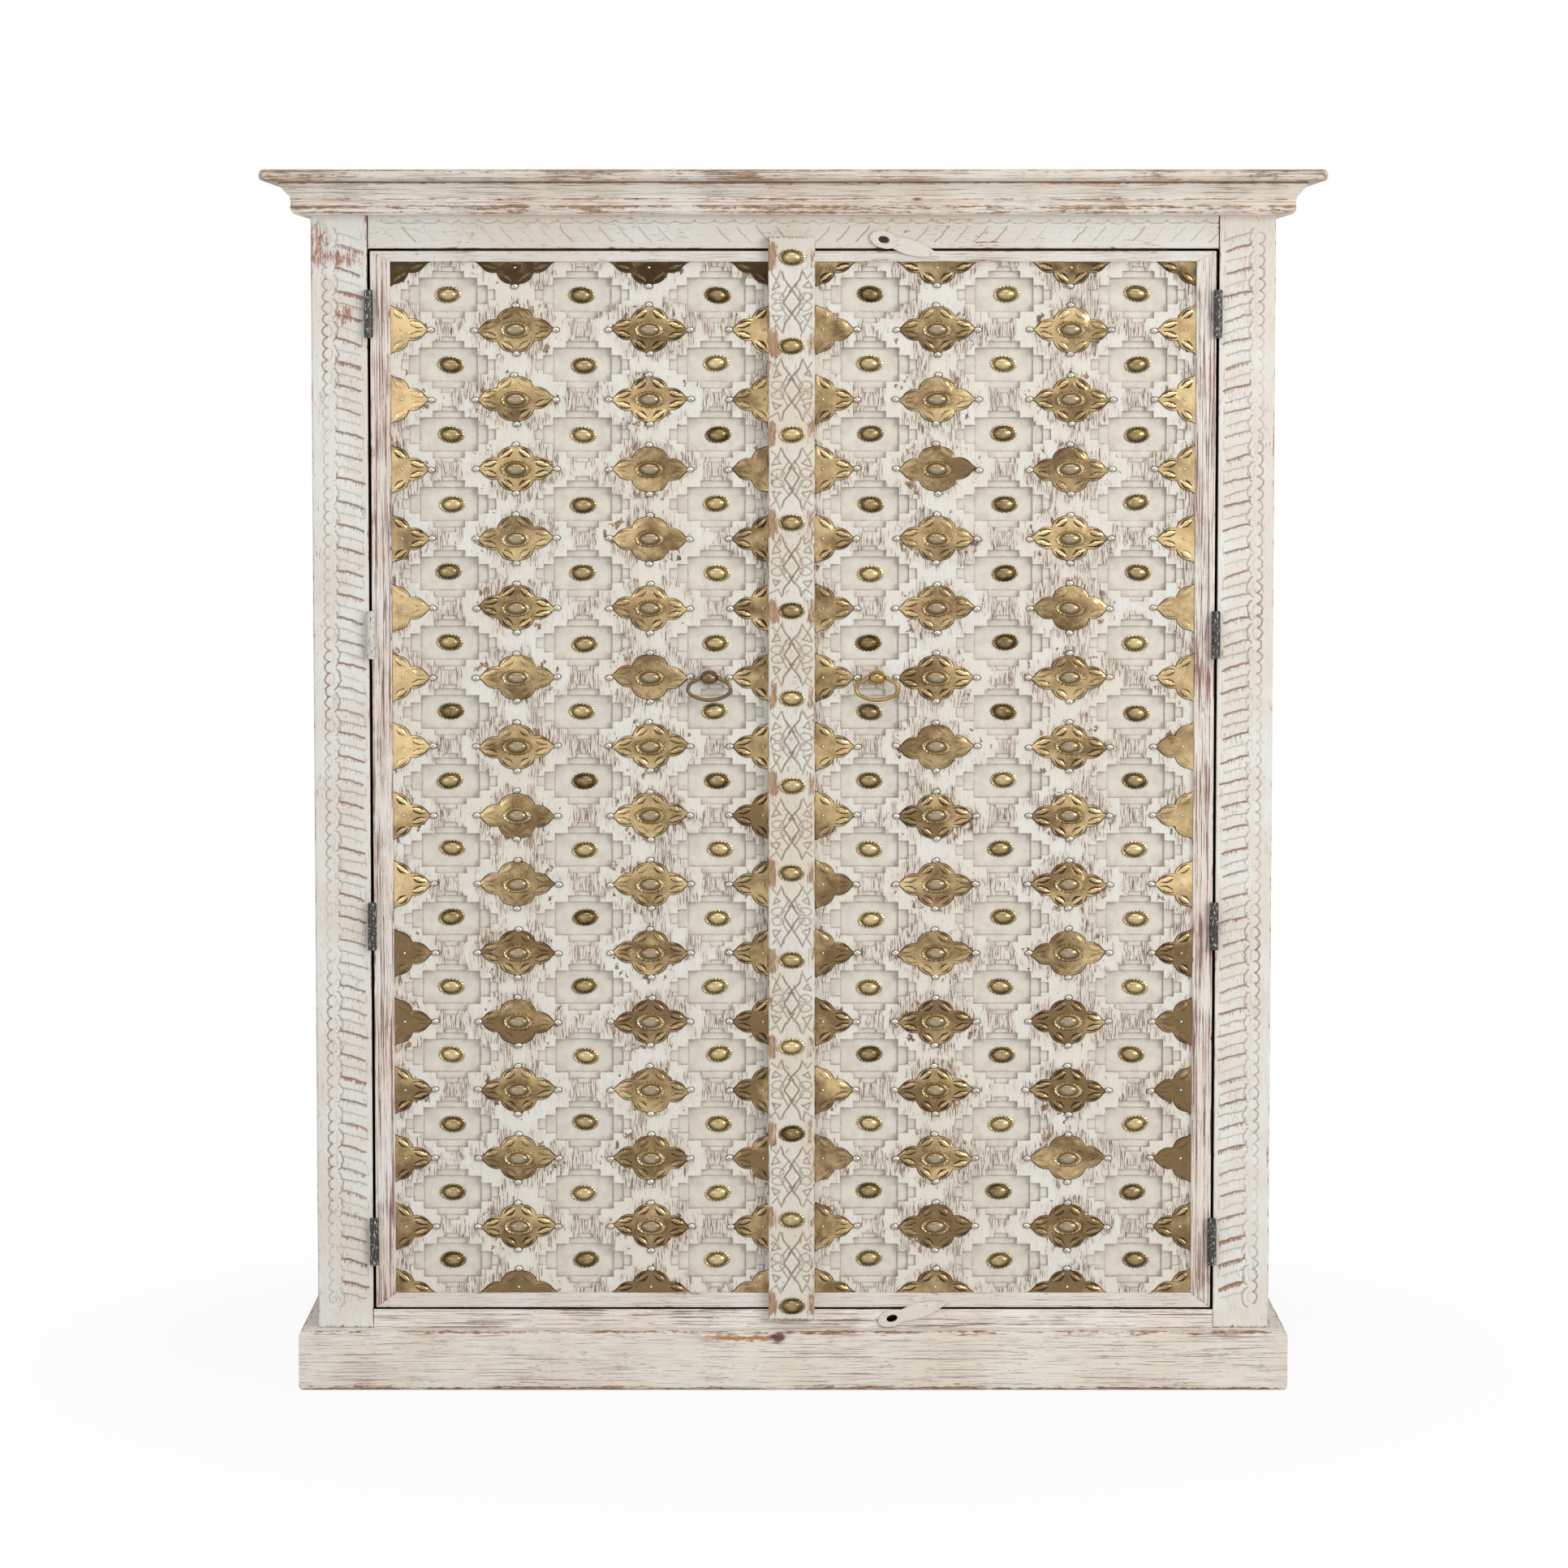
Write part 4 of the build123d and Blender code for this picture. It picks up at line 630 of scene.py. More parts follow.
def board(name, outline, near_y, far_y, finish, body, replaced, round_off=1.0, rubbed=5.0, rub=0.30):
    """A board with a straight-sided outline in X and Z, its arrises rounded and its edges rubbed."""
    made = bmesh.new()
    layer = made.verts.layers.float.new("rub")
    face = made.faces.new([made.verts.new((x, near_y, z)) for x, z in outline])
    drawn = bmesh.ops.extrude_face_region(made, geom=[face])
    bmesh.ops.translate(made, vec=(0, far_y - near_y, 0), verts=verts_of(drawn))
    bmesh.ops.recalc_face_normals(made, faces=made.faces)
    bmesh.ops.bevel(
        made, geom=list(made.edges), offset=round_off, affect="EDGES", segments=3, profile=0.5, material=-1
    )
    for vert in made.verts:
        vert[layer] = rub
    broad = [f for f in made.faces if f.calc_area() > 1.5 * rubbed * f.calc_perimeter()]
    before = set(made.verts)
    bmesh.ops.inset_individual(made, faces=broad, thickness=rubbed, use_even_offset=True)
    for vert in made.verts:
        if vert not in before:
            vert[layer] = 0.0
    return keep(made, name, finish, body, replaced, "painted_wood", sharp=50)


def moulding(name, profile, side, foot, finish, replaced):
    """A run of moulding from (reach, height, rub) points: side 0 is the front, -1 and 1 are its returns."""
    made = bmesh.new()
    layer = made.verts.layers.float.new("rub")
    section = []
    for reach, height, rub in profile:
        x = side * (HALF_WIDTH + reach) if side else -(HALF_WIDTH + reach)
        section.append(made.verts.new((x, FACE_Y - reach, foot + height)))
        section[-1][layer] = 0.30 * rub
    end = made.faces.new(section)
    drawn = verts_of(bmesh.ops.extrude_face_region(made, geom=[end]))
    if side:
        bmesh.ops.translate(made, vec=(0, -BACK_Y, 0), verts=drawn)
        bmesh.ops.scale(made, vec=(1, 0, 1), verts=drawn)
        bmesh.ops.translate(made, vec=(0, BACK_Y, 0), verts=drawn)
    else:
        bmesh.ops.scale(made, vec=(-1, 1, 1), verts=drawn)
    return keep(made, name, finish, "case", replaced, "painted_wood", sharp=35)


def stamped(profile, across, up, steps, notch=None):
    """An oval stamping for copying, spun from (radius, height, grime) points with its top towards +Z.

    notch(turn, radius) gives how far a point moves out and up, and its grime."""
    made = bmesh.new()
    grime_and_shade = made.verts.layers.float.new("grime_and_shade")
    rail = []
    for radius, height, darkening in profile:
        rail.append(made.verts.new((radius, 0, height)))
        rail[-1][grime_and_shade] = darkening
    edges = [made.edges.new(pair) for pair in zip(rail, rail[1:])]
    bmesh.ops.spin(
        made, geom=rail + edges, cent=(0, 0, 0), axis=(0, 0, 1), angle=2 * math.pi, steps=steps,
        use_merge=True,
    )
    bmesh.ops.remove_doubles(made, verts=made.verts, dist=0.01)
    for vert in made.verts:
        radius = math.hypot(vert.co.x, vert.co.y)
        if notch and radius > 0:
            turn = round(math.atan2(vert.co.y, vert.co.x) / (2 * math.pi) * steps)
            out, lift, darkening = notch(turn, radius)
            vert.co = Vector((vert.co.x * out, vert.co.y * out, vert.co.z + lift))
            vert[grime_and_shade] += darkening
    bmesh.ops.scale(made, vec=(across, up, 1), verts=made.verts)
    bmesh.ops.recalc_face_normals(made, faces=made.faces)
    return mesh_from(made, "stamping")


def fasten(name, stamping, places, base_y, finish, body, replaced, slot, turn, sharp=None):
    """Copies of a stamping, standing out from a face at these places, each a little turned."""
    made = bmesh.new()
    made.verts.layers.float.new("tone")
    for x, z in places:
        start = len(made.verts)
        made.from_mesh(stamping)
        made.verts.ensure_lookup_table()
        new = made.verts[start:]
        stand = Matrix.Translation((x, base_y, z)) @ UPRIGHT
        tilt = Matrix.Rotation(math.radians(CHANCE.uniform(-turn, turn)), 4, "Z")
        bmesh.ops.transform(made, matrix=stand @ tilt, verts=new)
        shade = CHANCE.uniform(0.15, 0.85)
        tone, grime_and_shade = (made.verts.layers.float[layer] for layer in ("tone", "grime_and_shade"))
        for vert in new:
            # where a stamping's profile sets a value below zero, its tone is raised: a painted highlight
            vert[tone] = shade - 2.0 * min(vert[grime_and_shade], 0.0)
    return keep(made, name, finish, body, replaced, slot, sharp)


def softened(node, name, finish, body, slot, passes):
    """A copy of a CAD node's shape with every edge worn round."""
    holder = placed(name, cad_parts[node].data.copy())
    holder.modifiers.new("merged", "WELD").merge_threshold = 0.01 * MM
    remesh = holder.modifiers.new("even", "REMESH")
    remesh.mode = "VOXEL"
    remesh.voxel_size = WORN_GRID * MM
    wear = holder.modifiers.new("worn", "SMOOTH")
    wear.iterations = passes
    wear.factor = 0.5
    made = bpy.data.meshes.new_from_object(holder.evaluated_get(bpy.context.evaluated_depsgraph_get()))
    bpy.data.objects.remove(holder)
    edge = [0.24 * max(0.0, 1 - 1.2 * abs(vert.normal.y)) for vert in made.vertices]
    for layer, values in (("tone", [0.5] * len(made.vertices)), ("rub", edge)):
        made.attributes.new(layer, "FLOAT", "POINT").data.foreach_set("value", values)
    return dress(made, name, finish, body, [node], slot)


# ---------------------------------------------------------------- carving

def uneven(x, z, seed):
    """Smooth unevenness from -1 to 1, one unit across, for arrays of places."""
    low_x, low_z = np.floor(x), np.floor(z)
    near_x, near_z = x - low_x, z - low_z
    near_x, near_z = near_x ** 2 * (3 - 2 * near_x), near_z ** 2 * (3 - 2 * near_z)
    corners = []
    for dx, dz in ((0, 0), (1, 0), (0, 1), (1, 1)):
        value = np.sin((low_x + dx) * 127.1 + (low_z + dz) * 311.7 + seed * 74.7) * 43758.5453
        corners.append(2 * (value - np.floor(value)) - 1)
    lower = corners[0] + (corners[1] - corners[0]) * near_x
    upper = corners[2] + (corners[3] - corners[2]) * near_x
    return lower + (upper - lower) * near_z


def score(face, layer, path, width, strength):
    """Scores a line along (x, z) points into one layer of a face's marks."""
    path = np.array(path, float)
    low, high = path.min(axis=0) - 2.5 * width, path.max(axis=0) + 2.5 * width
    x, z = face["x"], face["z"]
    near = np.flatnonzero((x > low[0]) & (x < high[0]) & (z > low[1]) & (z < high[1]))
    if len(near) == 0:
        return
    places = np.stack((x[near], z[near]), axis=1)
    gap = np.full(len(near), np.inf)
    for start, end in zip(path, path[1:]):
        run = end - start
        share = np.clip((places - start) @ run / max(run @ run, 1e-9), 0, 1)
        gap = np.minimum(gap, np.linalg.norm(places - start - share[:, None] * run, axis=1))
    mark = strength * np.exp(-((gap / width) ** 2))
    face[layer][near] = np.maximum(face[layer][near], mark)


def bow(x, z, across, up, start, end, points=9):
    """Points round part of an oval, angles in degrees."""
    angles = np.radians(np.linspace(start, end, points))
    return np.stack((x + across * np.cos(angles), z + up * np.sin(angles)), axis=1)


def shaky(path, amount=0.5):
    """The same path as a hand would cut it."""
    return np.array(path, float) + [[CHANCE.gauss(0, amount), CHANCE.gauss(0, amount)] for _ in path]


def carved_board(name, low, high, spacing, carve, finish, body, replaced, depth=0.8, hole=None):
    """A board whose front is a fine grid, scored by carve, with worn arrises and perhaps a peg hole."""
    made = bmesh.new()
    size = high - low
    lay = Matrix((
        (size.x / 2, 0, 0, (low.x + high.x) / 2), (0, 0, -1, low.y),
        (0, size.z / 2, 0, (low.z + high.z) / 2), (0, 0, 0, 1),
    ))
    bmesh.ops.create_grid(
        made, x_segments=round(size.x / spacing), y_segments=round(size.z / spacing), size=1.0, matrix=lay
    )
    made.verts.ensure_lookup_table()
    rub, cut = made.verts.layers.float.new("rub"), made.verts.layers.float.new("cut")
    places = np.array([(v.co.x, v.co.z) for v in made.verts])
    x, z = places[:, 0], places[:, 1]
    face = {"x": x, "z": z, "cut": np.zeros(len(x)), "rub": np.zeros(len(x))}
    carve(face)
    rim = np.minimum(np.minimum(x - low.x, high.x - x), np.minimum(z - low.z, high.z - z))
    arris = 1.1 + 0.5 * uneven(x / 9, z / 9, 1)
    rounding = 1.1 * np.clip(1 - rim / (spacing * arris), 0, 1) ** 2
    sink = depth * face["cut"] + rounding + 0.10 * (1 + uneven(x / 6, z / 15, 5))
    edge = 0.20 * np.clip(1 - rim / 5.0, 0, 1)
    for vert, down, line, bare in zip(made.verts, sink, face["cut"], np.maximum(face["rub"], edge)):
        vert.co.y += float(down)
        vert[cut] = float(line)
        vert[rub] = float(bare)
    open_edges = [e for e in made.edges if e.is_boundary]
    for vert in verts_of(bmesh.ops.extrude_edge_only(made, edges=open_edges)):
        vert.co.y = high.y
        vert[rub] = vert[cut] = 0.0
    bmesh.ops.holes_fill(made, edges=[e for e in made.edges if e.is_boundary], sides=0)
    finishes = [finish]
    if hole:
        hole_x, hole_z, half_x, half_z, deep = hole
        bored = []
        for f in made.faces:
            middle = f.calc_center_median()
            inside = math.hypot((middle.x - hole_x) / half_x, (middle.z - hole_z) / half_z) < 1
            if inside and len(f.verts) == 4 and abs(f.normal.y) > 0.5 and middle.y < low.y + 3:
                bored.append(f)
        sunk = verts_of(bmesh.ops.extrude_face_region(made, geom=bored))
        bmesh.ops.delete(made, geom=[f for f in bored if f.is_valid], context="FACES")
        bmesh.ops.translate(made, vec=(0, deep, 0), verts=sunk)
        # the hole's walls take the second finish, painted near black as the hole's shade
        for vert in sunk:
            for near in vert.link_faces:
                near.material_index = 1
        finishes.append("bore")
    return keep(made, name, finishes, body, replaced, "painted_wood", sharp=60)


SCALLOP_COUNT = 93
SCALLOP_PITCH = 14.2
SCALLOP_TOP = 1419.0
# from a stile's outer edge to where its leaf strokes start
LEAF_INSET = 30.0
# the top rail's scallops to each side of its middle
RAIL_SCALLOPS = 21
RAIL_PITCH = 24.0
RAIL_SCALLOP_Z = 1441.0
RAIL_STROKE_Z = 1433.0


def stile_carving(side):
    """A chain of scallops and loops down a stile, with a row of leaf strokes beside it."""
    def carve(face):
        def mark(path, width, strength, layer="cut"):
            """Scores a path whose points are so far in from the stile's outer edge, at these heights."""
            score(face, layer, [(side * (HALF_WIDTH - e), z) for e, z in path], width, strength)

        for k in range(SCALLOP_COUNT):
            z = SCALLOP_TOP - k * SCALLOP_PITCH
            fade = 0.65 + 0.35 * math.sin(k * 0.31 + side) * math.sin(k * 0.13)
            mark(shaky(bow(20.5, z, 6.8, 6.9, 98, 262)), 0.95, max(0.35, fade))
            if k % 2 == 0:
                mark(shaky(bow(24.5, z, 7.6, 12.5, -75, 75), 0.7), 0.9, max(0.35, 0.9 * fade))
                mark(shaky(bow(20.0, z, 5.0, 8.5, -60, 60), 0.7), 0.7, 0.5 * fade)
            bold = 1.1 if k % 2 else 0.7
            bold *= CHANCE.uniform(0.65, 1.1)
            drop = CHANCE.uniform(7.0, 10.0)
            reach = CHANCE.uniform(29, 34)
            stroke = [(LEAF_INSET + reach * t, z + 6.0 - drop * t ** 1.4) for t in np.linspace(0, 1, 8)]
            mark(shaky(stroke, 0.4), 1.35 if k % 2 else 0.85, min(bold, 1.0))
            mark(shaky([(LEAF_INSET, z + 6.0), (LEAF_INSET - 1.0, z + 12.0)], 0.4), 0.8, 0.8 * bold)
            for t in np.linspace(0.12, 0.92, 9):
                if CHANCE.random() < 0.7:
                    e, top = LEAF_INSET + reach * t, z + 6.0 - drop * t ** 1.4
                    mark([(e, top), (e - 0.4, top - CHANCE.uniform(1.5, 5.0))], 0.65, 0.8 * bold)
            if k % 3 == 0:
                mark(shaky([(62.0, z + 8), (62.5, z - 4)], 0.5), 0.7, 0.5)
            if k % 2:
                # a bare pinkish band just below every other leaf stroke: wear, and painted shade under the
                # stroke
                warm = CHANCE.uniform(0.0, 0.16) + (0.12 if z > 1250 or z < 420 else 0.0)
                mark([(e, level - 2.2) for e, level in stroke[1:]], 3.0, warm, "rub")
        blotch = np.clip(uneven(face["x"] / 22, face["z"] / 34, 3 + side), 0, 1)
        high = np.clip((face["z"] - 1160) / 160, 0, 1)
        edge = HALF_WIDTH - np.abs(face["x"])
        bare = (0.18 + 0.14 * (side < 0)) * high * blotch + 0.12 * blotch * (edge < 12)
        face["rub"] = np.maximum(face["rub"], bare)
        if side < 0:
            mark([(66.5, 1446), (66.5, 1408)], 2.2, 0.30, "rub")

    return carve


def rail_carving(face):
    """Shallow scallops and slanting strokes along the top rail, turned over at its middle."""
    for k in range(-RAIL_SCALLOPS, RAIL_SCALLOPS + 1):
        x = (k + 0.5) * RAIL_PITCH
        side = 1 if x > 0 else -1
        score(face, "cut", shaky(bow(x, RAIL_SCALLOP_Z, 12.0, 4.5, 185, 355)), 0.8, 0.6)
        tip = [(x + side * (9 - 17 * t), RAIL_STROKE_Z - 19 * t ** 0.8) for t in np.linspace(0, 1, 7)]
        score(face, "cut", shaky(tip, 0.4), 0.8, CHANCE.uniform(0.25, 0.85))
    blotch = np.clip(uneven(face["x"] / 60, face["z"] / 14, 8), 0, 1)
    face["rub"] = np.maximum(face["rub"], 0.11 * blotch)


def astragal_carving(face):
    """Lozenges crossing down the astragal between its studs, with leaves at both sides."""
    def mark(path, wobble, width, strength, layer="cut"):
        """Scores a path whose points are so far right of the astragal's middle line and above a height."""
        path = shaky(path, wobble) if wobble else path
        score(face, layer, [(ASTRAGAL_X + a, middle + v) for a, v in path], width, strength)

    for middle in [z - STUD_PITCH / 2 for z in STUD_ZS[:-1]]:
        mark([(0, 14), (9.5, 0), (0, -14), (-9.5, 0), (0, 14)], 0.5, 1.15, 0.9)
        mark(bow(0, 0, 3.0, 4.0, 0, 360), 0.4, 0.8, 0.3)
        for a in (-1, 1):
            for v in (-1, 1):
                mark([(-3 * a, 12 * v), (9 * a, 27 * v), (12 * a, 36 * v)], 0.6, 1.15, 0.85)
                mark([(3 * a, 21 * v), (9 * a, 12 * v), (14 * a, 4 * v)], 0.6, 1.05, 0.7)
                mark(bow(17.0 * a, 6.0 * v, 7.5, 5.0, 0, 360, 14), 0.5, 0.95, 0.65)
                mark([(14 * a, 18 * v), (24 * a, 15 * v), (20 * a, 25 * v), (14 * a, 18 * v)], 0.8, 1.0, 0.75)
                mark([(25 * a, 34 * v), (18 * a, 27 * v), (13 * a, 38 * v)], 0.8, 1.0, 0.7)
            for _ in range(8):
                start = np.array((CHANCE.uniform(3, 24) * a, CHANCE.uniform(-40, 40)))
                nick = [start, start + (CHANCE.uniform(-4, 4), CHANCE.uniform(-6, 6))]
                mark(nick, 0, 0.7, CHANCE.uniform(0.3, 0.9))
            mark([(25 * a, 5), (25 * a, -5)], 0, 3.0, CHANCE.uniform(0.0, 0.24), "rub")
    for middle in STUD_ZS:
        for a, bare in ((-1, 0.36), (1, 0.24)):
            mark([(25 * a, CHANCE.uniform(8, 13)), (25 * a, -CHANCE.uniform(5, 12))], 1.5, 8.0, bare, "rub")
            mark([(21 * a, 13), (20 * a, -12)], 0.6, 0.7, 0.5)


# ---------------------------------------------------------------- case

for side, word in ((-1, "left"), (1, "right")):
    node = f"{word}_stile"
    low, high = node_box(node)
    carved_board(f"{node}_board", low, high, 1.2, stile_carving(side), "stile", "case", [node])
    node = f"{word}_side_panel"
    low, high = node_box(node)
    outline = [(low.x, low.z), (high.x, low.z), (high.x, high.z), (low.x, high.z)]
    board(f"{word}_side_board", outline, low.y, high.y, "side", "case", [node])
carved_board(
    "top_rail_board", RAIL_LOW, RAIL_HIGH, 1.5, rail_carving, "rail", "case", ["top_rail"], 0.5, UPPER_PEG
)

CORNICE_TALL = CORNICE_HIGH.z - CORNICE_LOW.z
CORNICE = (
    # reach, height and how rubbed, from the case up the face of the moulding
    (0, 0, 0), (13.5, 0, 0), (17.5, 0.9, 0.4), (20.3, 3.0, 0.7), (22.0, 6.0, 0.45), (22.5, 9.0, 0.75),
    (22.5, 11.2, 0.8), (21.7, 12.0, 0.3), (22.2, 13.0, 0.2), (22.4, 15.0, 0.1), (21.2, 15.7, 0.0),
    (22.4, 16.5, 0.1), (22.5, 19.4, 0.8), (22.9, 20.6, 0.4), (23.9, 23.2, 0.1), (27.0, 26.3, 0.1),
    (31.0, 31.0, 0.0), (35.3, 36.1, 0.1), (36.0, 37.2, 0.6), (36.0, CORNICE_TALL - 1.6, 1.0),
    (35.6, CORNICE_TALL - 0.8, 1.8), (35.0, CORNICE_TALL, 2.0), (0, CORNICE_TALL, 0),
)
REACH = PLINTH_HIGH.x - HALF_WIDTH
PLINTH_TALL = PLINTH_HIGH.z
PLINTH = (
    (REACH - 48.0, 0, 0), (REACH - 6.0, 0, 0.5), (REACH - 3.0, 0.8, 1.1), (REACH - 0.8, 3.0, 0.9),
    (REACH, 6.0, 0.5), (REACH, 13.0, 0.0), (REACH, PLINTH_TALL - 9.0, 0.05),
    (REACH - 0.2, PLINTH_TALL - 6.0, 0.3), (REACH - 1.2, PLINTH_TALL - 3.0, 0.7),
    (REACH - 3.2, PLINTH_TALL - 0.8, 0.8), (REACH - 6.0, PLINTH_TALL, 0.4),
    (REACH - 18.0, PLINTH_TALL, 0.0), (REACH - 48.0, PLINTH_TALL, 0),
)
for side, word in ((0, "front"), (-1, "left"), (1, "right")):
    for kind, profile, foot in (("cornice", CORNICE, CORNICE_LOW.z), ("plinth", PLINTH, 0.0)):
        finish, node = (f"{kind}_side", f"{word}_{kind}_side") if side else (kind, f"{kind}_front")
        moulding(f"{word}_{kind}", profile, side, foot, finish, [node])

made = bmesh.new()
layer = made.verts.layers.float.new("rub")
size = TOP_HIGH - TOP_LOW
lay = Matrix.Translation((TOP_LOW + TOP_HIGH) / 2) @ Matrix.Diagonal((size.x, size.y, size.z, 1))
bmesh.ops.create_cube(made, size=1.0, matrix=lay)
corners = [e for e in made.edges if abs(e.verts[0].co.z - e.verts[1].co.z) > 1 and e.verts[0].co.y < 0]
bmesh.ops.bevel(made, geom=corners, offset=9.0, affect="EDGES", segments=5, profile=0.5, material=-1)
nose = [
    e for e in made.edges
    if abs(e.verts[0].co.z - e.verts[1].co.z) < 0.1 and min(v.co.y for v in e.verts) < BACK_Y - 1
]
bmesh.ops.bevel(made, geom=nose, offset=6.0, affect="EDGES", segments=6, profile=0.5, material=-1)
for vert in made.verts:
    vert.co.y = min(vert.co.y, TOP_HIGH.y)
    vert[layer] = 0.22 if vert.co.y < TOP_LOW.y + 5 and vert.co.z > TOP_HIGH.z - 3 else 0.10
keep(made, "top_board_nosed", "top_board", "case", ["top_board"], "painted_wood", sharp=40)

HINGE_PARTS = ("frame_leaves", "door_leaves", "pins", "frame_screws", "door_screws")
for finish, nodes in (
    # CAD nodes whose shape stays, with a finish of their own
    ("wood_x", ("lower_shelf", "middle_shelf", "upper_shelf", "floor_board")),
    ("wood_x", ("top_door_stop", "bottom_door_stop", "plinth_back")),
    ("wood_y", ("shelf_cleats",)),
    ("back_boards", ("back_boards",)),
    ("bottom_rail", ("bottom_rail",)),
    ("hasp", ("hasp_nails",)),
    ("panel", ("left_door_panel", "right_door_panel")),
    ("iron", [f"{word}_hinge_{part}" for word in ("left", "right") for part in HINGE_PARTS]),
):
    for node in nodes:
        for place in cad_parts[node].material_slots:
            place.link = "OBJECT"
            place.material = FINISHES[finish]


# ---------------------------------------------------------------- brass flowers

def flower_outline(points_each):
    """A flower's outline, round from its right-hand tip."""
    quarter, start = [np.array((FLOWER_HALF[0], 0.0))], np.array((FLOWER_HALF[0], 0.0))
    for end, bulge in FLOWER_TURNS:
        end = np.array(end)
        run = end - start
        out = np.array((run[1], -run[0])) / np.linalg.norm(run)
        out = out if out @ (start + end) > 0 else -out
        for i in range(1, points_each + 1):
            t = i / points_each
            quarter.append(start + run * t + out * bulge * 4 * t * (1 - t))
        start = end
    half = quarter[:-1] + [np.array((-p[0], p[1])) for p in quarter[::-1]][:-1]
    return half + [-p for p in half]


OUTLINE = flower_outline(8)


def flat_flower():
    """A flower's sheet, flat, with its outline drawn in towards the middle in rings."""
    made = bmesh.new()
    rim = [made.verts.new((x, z, 0)) for x, z in OUTLINE]
    edges = [made.edges.new(pair) for pair in zip(rim, rim[1:] + rim[:1])]
    made.faces.new(rim)
    level = 1.0
    for ring in FLOWER_RINGS:
        drawn = bmesh.ops.extrude_edge_only(made, edges=edges)
        edges = [part for part in drawn["geom"] if isinstance(part, bmesh.types.BMEdge) and part.is_boundary]
        bmesh.ops.scale(made, vec=(ring / level, ring / level, 1), verts=verts_of(drawn))
        level = ring
    bmesh.ops.contextual_create(made, geom=edges)
    return mesh_from(made, "flat_flower")


FLAT_FLOWER = flat_flower()
FLAT = np.array([v.co for v in FLAT_FLOWER.vertices])[:, :2]
RING_AT = np.array([1.0] + list(FLOWER_RINGS))[np.arange(len(FLAT)) // len(OUTLINE)]


def beaten(crisp, seed, bossed):
    """How high each point of one flower is beaten up, how bright it is rubbed and lit by painted highlights,
    and how dark with dirt and painted shadow.
    """
    x, z = FLAT[:, 0], FLAT[:, 1]
    height = 0.8 + 1.3 * (1 - RING_AT ** 4)
    height = height + 0.5 * uneven(x / 13, z / 10, seed) + 0.25 * uneven(x / 5, z / 5, seed + 3)
    # each flower lighter towards one side, turned at random: a painted highlight
    lean = seed * 2.4
    highlight_and_rub = 0.30 * (math.cos(lean) * x / 50 + math.sin(lean) * z / 31)
    highlight_and_rub = highlight_and_rub + 0.28 * uneven(x / 24, z / 16, seed + 6)
    # a bright line just inside the edge: a painted highlight
    highlight_and_rub += 0.25 * np.exp(-(((RING_AT - 0.955) / 0.025) ** 2))
    # a dark line at the very edge: painted shadow where the sheet meets the panel; uneven dirt over the rest
    grime_and_shade = 0.85 * np.clip((RING_AT - 0.95) / 0.05, 0, 1) + 0.15 * (1 + uneven(x / 9, z / 8, seed + 9))
    if bossed:
        from_boss = np.hypot(x / BOSS_HALF[0], z / BOSS_HALF[1])
        # a darker ring round the foot of the boss
        grime_and_shade += 0.14 * np.exp(-(((from_boss - 1.06) / 0.10) ** 2))
    for (middle_x, middle_z), long, wide, turn in LEAF_MARKS:
        c, s = math.cos(math.radians(turn)), math.sin(math.radians(turn))
        along = (c * (np.abs(x) - middle_x) + s * (np.abs(z) - middle_z)) / long
        aside = np.abs(-s * (np.abs(x) - middle_x) + c * (np.abs(z) - middle_z)) / wide
        quarter = crisp * (1 + 0.4 * uneven(np.sign(x) * 3.3, np.sign(z) * 3.3, seed))
        lens = np.clip(1 - along ** 2, 1e-6, 1)
        share = np.where(np.abs(along) < 1, aside / lens, 9.0)
        height += 1.5 * quarter * np.clip(1 - share, 0, 1) ** 0.7 * np.sqrt(lens)
        groove = np.exp(-(((share - 1.2) / 0.3) ** 2))
        height -= 0.5 * quarter * groove
        grime_and_shade += 1.25 * quarter * groove - 0.3 * (share < 0.8)
        # the middle of each leaf mark lighter: a painted highlight
        highlight_and_rub += 0.18 * quarter * (share < 0.75)
    height = np.where(np.arange(len(x)) < len(OUTLINE), 0.0, np.maximum(height, 0.35))
    return height, highlight_and_rub, np.clip(grime_and_shade, 0, 1)


def grid(side, columns, rows):
    """Places on one door's panel, about its middle, a column after another from the astragal outwards."""
    return [
        (side * (PANEL_X + (c - (columns - 1) / 2) * COLUMN_PITCH), PANEL_Z + (r - (rows - 1) / 2) * ROW_PITCH)
        for c in range(columns) for r in range(rows)
    ]


